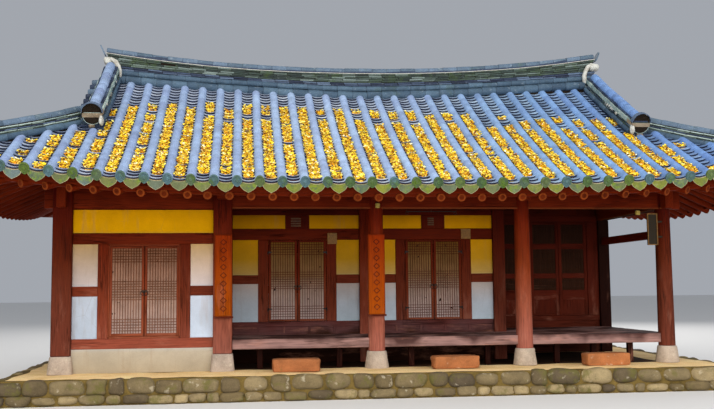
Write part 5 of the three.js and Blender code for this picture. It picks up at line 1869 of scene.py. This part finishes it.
def window():
    """A pair of lattice leaves in a frame, with a dark board behind them."""
    piece = Piece()
    x0, x1 = WINDOW["x"]
    z0, z1 = WINDOW["z"]
    front, back = Y_FRONT - 0.052, Y_FRONT + 0.02
    middle = (x0 + x1) / 2
    for left, right in ((x0, x0 + 0.02), (x1 - 0.02, x1)):
        bar(piece, (left, front, z0), (right, back, z1), 2, 0.004, 0.3)
    for low, high in ((z0, z0 + 0.03), (z1 - 0.03, z1)):
        bar(piece, (x0, front, low), (x1, back, high), 0, 0.004, 0.3)
    low, high = z0 + 0.033, z1 - 0.033
    heights = (low + 0.045, high - 0.035)
    for left, right in ((x0 + 0.022, middle - 0.007), (middle + 0.007, x1 - 0.022)):
        rails = [(low, heights[0]), (heights[1], high)]
        leaf_frame(piece, (left, right), (low, high), front + 0.008, front + 0.044, WINDOW_STILE, rails)
        pane = (left + WINDOW_STILE, right - WINDOW_STILE)
        lattice(piece, pane, heights, front + 0.02)
        sheet(piece, pane, heights, front + 0.034, 2)
    board = (x0 + 0.03, Y_FRONT + 0.002, z0 + 0.03), (x1 - 0.03, Y_FRONT + 0.018, z1 - 0.03)
    bar(piece, *board, 2, 0.002, 0.2)
    for x in (middle - 0.024, middle + 0.024):
        ring_pull(piece, x, front + 0.008, 1.66, 3)
    piece.build("front_window", "frame lattice paper bronze iron", "timber", replaces=["window_front_1"])


DOOR_CENTRES = {2: -1.215, 3: 1.245}
DOOR_HALF = 0.515
DOORWAY = (SILL_TOP, DOOR_HEAD)
JAMB = 0.18
MID_SPANS = {2: (COLUMNS[1] + WIDE_POST, -POST / 2), 3: (POST / 2, WALL_4 - POST / 2)}
MID_LOOKS = {2: "rail_2 plaster_2", 3: "rail_3 plaster_3"}


def mid_walls():
    """The walls behind the veranda: beside, over and under each doorway."""
    for bay, (left, right) in MID_SPANS.items():
        centre = DOOR_CENTRES[bay]
        for side, way, far in (("left", -1, left), ("right", 1, right)):
            wall = Wall(0, Y_MID)
            edge = centre + way * DOOR_HALF
            jamb = edge + way * JAMB
            wall.fill((far, edge), DOORWAY)
            wall.rail((far, jamb), MID_MIDDLE)
            wall.stile((edge, jamb), DOORWAY)
            wall.stile((edge, edge + way * 0.03), DOORWAY, DEEP - 0.004, 1.0)
            hinge_pins(wall.piece, centre, way)
            wall.build(f"mid_wall_{bay}_{side}", MID_LOOKS[bay] + " iron", f"wall_mid_{bay}_{side}")
        over = Wall(0, Y_MID)
        over.fill((left, right), (DOOR_HEAD, HIGH_WALL_TOP))
        over.rail((left, right), MID_UPPER)
        over.rail((left, right), (BEAM_UNDER, BEAM_UNDER + 0.18))
        over.stile((centre - 0.215, centre + 0.215), (MID_UPPER[1], BEAM_UNDER))
        over.build(f"mid_wall_{bay}_over", MID_LOOKS[bay], f"wall_mid_{bay}_over")
        under_wall(bay, left, right)


def under_wall(bay, left, right):
    """The deep sill with sunk boards under it."""
    wall = Wall(0, Y_MID)
    wall.rail((left, right), (MID_SILL[0] + 0.01, MID_SILL[1]), DEEP, 0.6)
    wall.fill((left, right), (PLATFORM_TOP, MID_SILL[0] + 0.02))
    floor = FLOOR_TOP
    wall.rail((left, right), (floor - 0.02, floor + 0.035), DEEP - 0.004, 0.8)
    count = 5
    step = (right - left) / count
    for index in range(count + 1):
        x = left + index * step
        ends = (max(left, x - 0.02), min(right, x + 0.02))
        wall.stile(ends, (floor + 0.03, MID_SILL[0] + 0.012), DEEP - 0.006)
    wall.build(f"mid_wall_{bay}_under", "sill sill", f"wall_mid_{bay}_under", "timber")


# Door leaves: the gap round each, its timbers, and the pins that it turns on
HINGE_LEVELS = (SILL_TOP + 0.22, DOOR_HEAD - 0.22)
STRAP_HALF = 0.015
PIN_ASIDE = 0.002
PIN_OUT = 0.014
LEAF_GAP = 0.006
LEAF_STILE = 0.044
LEAF_DEEP = 0.036


def hinge_pins(piece, centre, side):
    """Each leaf turns on two iron pins that stand on collars in the jamb."""
    x = centre + side * (DOOR_HALF + PIN_ASIDE)
    y = Y_MID - DEEP - PIN_OUT
    for level in HINGE_LEVELS:
        low = level - STRAP_HALF
        far, near = (x + side * 0.014, y - 0.012, low - 0.022), (x - side * 0.002, Y_MID - DEEP, low - 0.0006)
        bar(piece, far, near, 1, 0.002, kind=2)
        pole(piece, (x, y, low - 0.01), (x, y, low + 0.038), 0.0058, sides=12, kind=2, up=(0, 1, 0))


def doors():
    """Leaves with a lattice over paper, each on its own body."""
    for bay, centre in DOOR_CENTRES.items():
        for side, sign in (("left", 1), ("right", -1)):
            name = f"door_{bay}_{side}"
            piece = Piece()
            hinge_x = centre - sign * (DOOR_HALF + PIN_ASIDE)
            outer = hinge_x + sign * 0.008
            inner = centre - sign * 0.005
            ends = (min(outer, inner), max(outer, inner))
            levels = (SILL_TOP + LEAF_GAP, DOOR_HEAD - LEAF_GAP)
            front = Y_MID - DEEP
            back = front + LEAF_DEEP
            rails = [(levels[0], levels[0] + LEAF_DEEP), (levels[1] - LEAF_DEEP, levels[1])]
            leaf_frame(piece, ends, levels, front, back, LEAF_STILE, rails)
            pane = (ends[0] + LEAF_STILE, ends[1] - LEAF_STILE)
            heights = (rails[0][1], rails[1][0])
            lattice(piece, pane, heights, front + 0.011, kind=4)
            sheet(piece, pane, heights, front + 0.022, 1)
            ring_pull(piece, inner - sign * 0.025, front, 1.72, 2)
            strap_hinges(piece, hinge_x, sign, front)
            looks = "door_frame door_paper bronze iron door"
            piece.build(f"leaf_{bay}_{side}", looks, "door", name, replaces=[name])


def strap_hinges(piece, x, sign, front):
    """An iron eye round each pin, with its strap."""
    y = front - PIN_OUT
    for level in HINGE_LEVELS:
        low, high = level - STRAP_HALF, level + STRAP_HALF
        rings = []
        for radius, z in ((0.0072, low), (0.012, low), (0.012, high), (0.0072, high)):
            rings.append(np.array([x, y, z]) + radius * around(16, (1, 0, 0), (0, 1, 0)))
        tube(piece, rings, 3)
        eye = (x + sign * 0.01, y + 0.002, low), (x + sign * 0.02, y + 0.012, high)
        strap = (x + sign * 0.012, y + 0.006, low + 0.002), (x + sign * 0.06, front + 0.001, high - 0.002)
        for start, end in (eye, strap):
            bar(piece, start, end, 0, 0.001, kind=3)


def return_wall():
    """The short plastered wall between the front room and the veranda."""
    wall = Wall(1, COLUMNS[1])
    ends = (Y_FRONT + SQUARE_COLUMN / 2, Y_MID - WIDE_POST)
    wall.panels(ends, WALL_PLATE[1])
    wall.rail(ends, WALL_PLATE)
    wall.stile((Y_MID - WIDE_POST, Y_MID + WIDE_POST), (PLATFORM_TOP, HIGH_WALL_TOP), WIDE_POST)
    wall.build("return_wall_2", "rail plaster_2", "wall_return_2")


def side_wall_4():
    wall = Wall(1, WALL_4)
    half = POST / 2
    ends = (Y_MID + half, Y_BACK - half)
    wall.panels(ends, WALL_PLATE[1], 0.0)
    wall.rail(ends, WALL_PLATE)
    for y in (Y_MID, Y_BACK):
        wall.stile((y - half, y + half), (PLATFORM_TOP, HIGH_WALL_TOP), half)
    wall.build("side_wall_bay_4", "rail_2 plaster_3", "wall_side_4")


LEAF_EDGES = (2.9, 3.485, 4.07, 4.655)


def corner_back_wall():
    """Tall lattice leaves across the back of the open corner bay."""
    wall = Wall(0, Y_BACK)
    piece = wall.piece
    left, right = WALL_4 + POST / 2, COLUMNS[4] - POST / 2
    corner = GABLE_X - 0.02
    y0, y1 = Y_BACK - DEEP, Y_BACK + DEEP
    top = MID_UPPER[0] + 0.42
    over = BEAM_UNDER + 0.09
    for ends, levels, deep in (
        ((left, right), MID_SILL, DEEP),
        ((left, right), (top, BEAM_UNDER + 0.1), DEEP),
        ((left, right), (PLATFORM_TOP, MID_SILL[0] + 0.01), THIN),
        ((left, corner), (over, HIGH_WALL_TOP), THIN),
        ((corner, right - 0.03), (over, BEAM_UNDER + 0.6), THIN),
    ):
        wall.rail(ends, levels, deep)
    wall.stile((left, LEAF_EDGES[0] - 0.004), (MID_SILL[1], top))
    wall.stile((LEAF_EDGES[3] + 0.004, right), (MID_SILL[1], top))
    for start, end in zip(LEAF_EDGES, LEAF_EDGES[1:]):
        ends = (start + 0.003, end - 0.003)
        levels = (MID_SILL[1] + 0.004, top - 0.004)
        panes = [(1.6, 1.83), (1.93, 2.41), (2.52, 2.9)]
        rails = [(levels[0], 1.14), (1.41, 1.6), (1.83, 1.93), (2.41, 2.52), (2.9, levels[1])]
        leaf_frame(piece, ends, levels, y0 + 0.01, y0 + 0.05, 0.06, rails)
        inner = (ends[0] + 0.06, ends[1] - 0.06)
        bar(piece, (inner[0], y0 + 0.024, 1.14), (inner[1], y0 + 0.036, 1.41), 2, 0.002)
        for pane in panes:
            lattice(piece, inner, pane, y0 + 0.022, 0.052)
            sheet(piece, inner, pane, y0 + 0.033, 2)
    bar(piece, (left, y0 + 0.055, MID_SILL[1]), (right, y1 - 0.01, top), 0, 0.002)
    wall.build("corner_back_leaves", "dark dark_lattice dark_paper", "wall_back_4", "timber")


def outer_walls():
    """The two ends and the rear, which repeat the front's rails and plaster."""
    half = POST / 2
    rear_end = Y_REAR - REAR_POST / 2
    wall = Wall(1, COLUMNS[0])
    wall.panels((Y_FRONT + SQUARE_COLUMN / 2, rear_end), BEAM_UNDER)
    for y in (Y_MID, Y_BACK):
        wall.stile((y - half, y + half), (PLATFORM_TOP, BEAM_UNDER), DEEP + 0.004)
    wall.build("left_wall", "rail plaster_other", "wall_left")
    wall = Wall(1, COLUMNS[4])
    wall.panels((Y_BACK + half, rear_end), BEAM_UNDER)
    wall.stile((Y_BACK - half, Y_BACK + half), (PLATFORM_TOP, BEAM_UNDER), half, kind=2)
    wall.build("right_wall", "rail plaster_other shadow", "wall_right")
    wall = Wall(0, Y_REAR)
    wall.panels((COLUMNS[0], COLUMNS[4]), BEAM_UNDER)
    half = REAR_POST / 2
    for x in COLUMNS:
        wall.stile((x - half, x + half), (PLATFORM_TOP, COLUMN_TOP), half)
    for left, right in zip(COLUMNS, COLUMNS[1:]):
        middle = (left + right) / 2
        wall.stile((middle - 0.07, middle + 0.07), (SILL[1], UPPER[0]), DEEP - 0.004)
    wall.build("rear_wall", "rail plaster_other", "wall_rear")


# Floors
PLANK_THICK = 0.04
PLANK_WIDE = 0.17
EDGE_BEAM = 0.12
BACK_BEAM = 0.1
JOIST_HALF = 0.05


def plank_floor(name, node, ends, depths, joists):
    """Short planks between cross timbers, a deep edge beam, joists and legs."""
    piece = Piece()
    left, right = ends
    front, back = depths
    near, far = front + EDGE_BEAM, back - BACK_BEAM
    under, top = FLOOR_TOP - PLANK_THICK, FLOOR_TOP - 0.001
    bar(piece, (left, front, FLOOR_TOP - 0.155), (right, near, FLOOR_TOP), 0, 0.01, 0.9)
    bar(piece, (left, far, under), (right, back, FLOOR_TOP), 0, 0.005, 0.5)
    bays = [left, *joists, right]
    rows, step = shares(near, far, PLANK_WIDE, 2)
    for index, (start, end) in enumerate(zip(bays, bays[1:])):
        first = start + (JOIST_HALF if index else 0.0) + 0.002
        last = end - (JOIST_HALF if index < len(joists) else 0.0) - 0.002
        for row in range(rows):
            y = near + row * step
            high = top - draw.random() * 0.003
            bar(piece, (first, y + 0.0015, under), (last, y + step - 0.0015, high), 0, 0.004)
    for x in joists:
        low, high = x - JOIST_HALF, x + JOIST_HALF
        bar(piece, (low, near - 0.002, under), (high, far, top), 1, 0.005, 0.6)
        bar(piece, (low, near, under - 0.09), (high, back, under + 0.001), 1, 0.006, 0.3, kind=1)
        leg = (x - 0.045, front + 0.16, PLATFORM_TOP), (x + 0.045, front + 0.25, under)
        bar(piece, *leg, 2, 0.006, 0.3, kind=1)
    piece.build(name, "plank shadow", "plank", replaces=[node])


def floors():
    front = Y_FRONT - 0.05
    left = COLUMNS[1] + SQUARE_COLUMN / 2
    joint = WALL_4 + 0.06
    right = COLUMNS[4] + 0.05
    depths = {"veranda": (front, Y_MID - DEEP), "corner": (front, Y_BACK - DEEP)}
    joists = {"veranda": [-1.9, -0.6, 0.6, 1.9], "corner": [3.1, 3.75, 4.4]}
    for key, ends in (("veranda", (left, joint)), ("corner", (joint, right))):
        plank_floor(f"{key}_planks", f"{key}_floor", ends, depths[key], joists[key])
    piece = Piece()
    inner, rear = DEEP, Y_REAR - DEEP
    rooms = [(COLUMNS[0], COLUMNS[1], Y_FRONT), (COLUMNS[1], WALL_4, Y_MID), (WALL_4, COLUMNS[4], Y_BACK)]
    for left, right, front in rooms:
        low = (left + inner, front + inner, PLATFORM_TOP)
        bar(piece, low, (right - inner, rear, ROOM_FLOOR), 0, 0.004, 0.5)
    piece.build("room_floor_paper", "soil", "earth", replaces=["room_floor"])


def inner_beams():
    """Cross beams with their king posts, and the ridge purlin."""
    for line in (2, 3, 4):
        piece = Piece()
        low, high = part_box(f"cross_beam_{line}")
        bar(piece, (low[0], low[1], low[2]), (high[0], high[1], COLUMN_TOP), 1, 0.012, 0.7)
        bar(piece, (low[0], -0.11, COLUMN_TOP - 0.01), (high[0], 0.11, high[2]), 2, 0.01, 0.5)
        piece.build(f"cross_timber_{line}", "eave", "timber", replaces=[f"cross_beam_{line}"])
    piece = Piece()
    low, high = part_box("ridge_purlin")
    z = (low[2] + high[2]) / 2
    pole(piece, (low[0], 0, z), (high[0], 0, z), 0.119, sides=24, steps=6, tone=0.5)
    piece.build("ridge_pole", "eave", "timber", replaces=["ridge_purlin"])
    squared_timber("end_rail", "side_rail_5", 1, 0.6, "eave")


# Small fittings: left, right, low and high of the plates and slats, the lamps' places, the rod's ends
EDGE = 0.016
PLATES = [(-0.677, -0.508, 2.464, 2.661), (1.76, 1.935, 2.55, 2.732)]
SLATS = [(-1.327, -1.15, 2.769, 2.94), (1.147, 1.262, 2.79, 2.94)]
LAMP_COVERS = [(0.016, Y_FRONT - 0.13, 3.026), (4.507, Y_FRONT - 0.085, 2.914)]
ROD = (0.55, 1.4)
PLAQUE_HALF = 0.136
PLAQUE_LEVELS = (1.25, 2.55)


def plaques():
    """Long orange boards on two posts, bare but for a cut border and plain lozenges."""
    piece = Piece()
    low, high = PLAQUE_LEVELS
    for x, face in ((COLUMNS[1] + 0.015, Y_FRONT - 0.15), (COLUMNS[2] - 0.01, Y_FRONT - 0.132)):
        left, right = x - PLAQUE_HALF, x + PLAQUE_HALF
        y = face - 0.03
        bar(piece, (left, y, low), (right, face + 0.006, high), 2, 0.004, 0.9)
        border(piece, (left, right), PLAQUE_LEVELS, (y - 0.007, y + 0.004), 0.2)
        for z in np.linspace(low + 0.12, high - 0.12, 9):
            lozenge(piece, (x, y, z), 0.056, 0.052, 1)
        foot = (left - 0.02, y - 0.012, low - 0.03), (right + 0.02, face + 0.02, low)
        bar(piece, *foot, 0, 0.005, 0.1, kind=1)
    piece.build("post_plaques", "plaque dark", "timber")


def lozenge(piece, centre, wide, tall, kind):
    """A thin raised frame in the shape of a lozenge."""
    corners = np.array([(0, 0, tall), (wide, 0, 0), (0, 0, -tall), (-wide, 0, 0)])
    rings = []
    for size, out in ((1.0, 0.004), (1.0, -0.004), (0.72, -0.004), (0.72, 0.004)):
        rings.append(np.array(centre) + corners * size + (0, out, 0))
    tube(piece, rings, kind)


def border(piece, ends, levels, depths, tone):
    """Four thin strips round a board."""
    left, right = ends
    low, high = levels
    front, back = depths
    for start, end in ((left, left + EDGE), (right - EDGE, right)):
        bar(piece, (start, front, low), (end, back, high), 2, 0.003, tone)
    for start, end in ((low, low + EDGE), (high - EDGE, high)):
        bar(piece, (left + EDGE, front, start), (right - EDGE, back, end), 0, 0.003, tone)


def framed_board():
    """A small dark board in a pale frame on the last post."""
    piece = Piece()
    x0, x1, z0, z1 = COLUMNS[4] - 0.33, COLUMNS[4] - 0.15, 2.36, 2.9
    face = Y_FRONT - 0.1
    bar(piece, (x0, face - 0.03, z0), (x1, face, z1), 2, 0.003, 0.1, kind=1)
    border(piece, (x0, x1), (z0, z1), (face - 0.042, face - 0.012), 0.5)
    for z in (z0 + 0.14, z1 - 0.14):
        clip = (x1 - 0.02, face - 0.02, z - 0.015), (COLUMNS[4] - 0.06, face + 0.03, z + 0.015)
        bar(piece, *clip, 0, 0.003, 0.3, kind=1)
    piece.build("framed_board", "plate olive", "timber")


def small_plates():
    """Pale plates on the upper rail, slats over the doorways, lamps and the rod under the beam."""
    piece = Piece()
    wall = Y_MID - DEEP
    for left, right, low, high in PLATES:
        bar(piece, (left, wall - 0.02, low), (right, wall + 0.004, high), 2, 0.004, 0.7)
        inner = (left + 0.03, wall - 0.027, low + 0.03), (right - 0.03, wall - 0.016, high - 0.03)
        bar(piece, *inner, 2, 0.004, 0.2)
    for left, right, low, high in SLATS:
        for row in range(4):
            z = low + (high - low) * row / 4
            slat = (left, wall - 0.012, z + 0.008), (right, wall + 0.004, z + 0.034)
            bar(piece, *slat, 0, 0.003, 0.3, kind=3)
    for x, face, z in LAMP_COVERS:
        cover = (x - 0.035, face - 0.07, z - 0.04), (x + 0.035, face - 0.006, z + 0.035)
        bar(piece, *cover, 2, 0.008, 0.5, kind=1)
        clip = (x - 0.028, face - 0.02, z + 0.034), (x + 0.028, face + 0.03, z + 0.05)
        bar(piece, *clip, 0, 0.004, 0.5, kind=2)
    y, z = Y_FRONT + 0.14, BEAM_UNDER - 0.028
    left, right = ROD
    pole(piece, (left, y, z), (right, y, z), 0.0075, sides=10, steps=3, kind=2)
    for x in (left, 0.97, right):
        pole(piece, (x, y, z - 0.004), (x, y - 0.1, BEAM_UNDER + 0.05), 0.005, sides=8, kind=2)
    for x in (left + 0.01, right - 0.01):
        torus(piece, (x, y, z - 0.03), 0.024, 0.0035, 2)
    piece.build("small_fittings", "plate lamp iron vent", "timber")


# The plain studio round the house
WORLD_LIGHT = 0.42
LAMPS = [
    ("key", (-7, -18, 18), (0, 0, 3), (24, 16), 4800, (1.0, 0.97, 0.92)),
    ("fill", (14, -16, 9), (0, 0, 2.5), (12, 8), 1300, (0.95, 0.97, 1.0)),
    ("front", (0, -26, 4), (0, 0, 1.5), (24, 6), 2600, (1.0, 0.98, 0.95)),
    ("rear", (6, 20, 14), (0, 0, 3), (20, 14), 3000, (1.0, 0.98, 0.96)),
]


def studio():
    """A pale floor, a soft sky and four lamps."""
    floor_material = bpy.data.materials.new("studio_floor")
    floor_material.use_nodes = True
    shader = floor_material.node_tree.nodes["Principled BSDF"]
    shader.inputs["Base Color"].default_value = (0.74, 0.73, 0.71, 1)
    shader.inputs["Roughness"].default_value = 0.9
    bpy.ops.mesh.primitive_plane_add(size=240, location=(0, 0, 0))
    floor = bpy.context.object
    floor.name = "studio_floor"
    floor.data.materials.append(floor_material)
    world = bpy.data.worlds.new("studio")
    world.use_nodes = True
    world.node_tree.nodes["Background"].inputs["Color"].default_value = (0.86, 0.91, 1.0, 1)
    world.node_tree.nodes["Background"].inputs["Strength"].default_value = WORLD_LIGHT
    bpy.context.scene.world = world
    for name, place, aim, size, power, tone in LAMPS:
        lamp = bpy.data.lights.new(name, "AREA")
        lamp.shape = "RECTANGLE"
        lamp.size, lamp.size_y = size
        lamp.energy = power
        lamp.color = tone
        thing = bpy.data.objects.new(name, lamp)
        way = Vector(aim) - Vector(place)
        thing.matrix_world = Matrix.Translation(place) @ way.to_track_quat("-Z", "Y").to_matrix().to_4x4()
        bpy.context.scene.collection.objects.link(thing)


CAMERA_PLACE = Vector((-2.19213, -17.10805, 1.68642))
CAMERA_YAW = 0.124769241
CAMERA_PITCH = 0.0899586921
CAMERA_ROLL = -0.00956784193
CAMERA_LENS = 46.408


def camera():
    """The photograph's viewpoint."""
    yaw, pitch, roll = CAMERA_YAW, CAMERA_PITCH, CAMERA_ROLL
    forward = Vector((math.sin(yaw) * math.cos(pitch), math.cos(yaw) * math.cos(pitch), math.sin(pitch)))
    level = Vector((math.cos(yaw), -math.sin(yaw), 0))
    upright = level.cross(forward)
    right = level * math.cos(roll) + upright * math.sin(roll)
    top = upright * math.cos(roll) - level * math.sin(roll)
    data = bpy.data.cameras.new("camera")
    data.lens = CAMERA_LENS
    data.sensor_width = 36
    data.sensor_fit = "HORIZONTAL"
    data.clip_end = 400
    thing = bpy.data.objects.new("camera", data)
    turn = Matrix((right, top, -forward)).transposed()
    thing.matrix_world = Matrix.Translation(CAMERA_PLACE) @ turn.to_4x4()
    bpy.context.scene.collection.objects.link(thing)
    bpy.context.scene.camera = thing


camera()
studio()
bpy.context.scene.view_settings.view_transform = "Standard"
roof_tiles()
eaves()
main_ridge()
corner_ridges()
gables()
platform()
bases()
step_blocks()
columns()
head_beams()
inner_beams()
front_wall()
window()
mid_walls()
doors()
return_wall()
side_wall_4()
corner_back_wall()
outer_walls()
floors()
plaques()
framed_board()
small_plates()
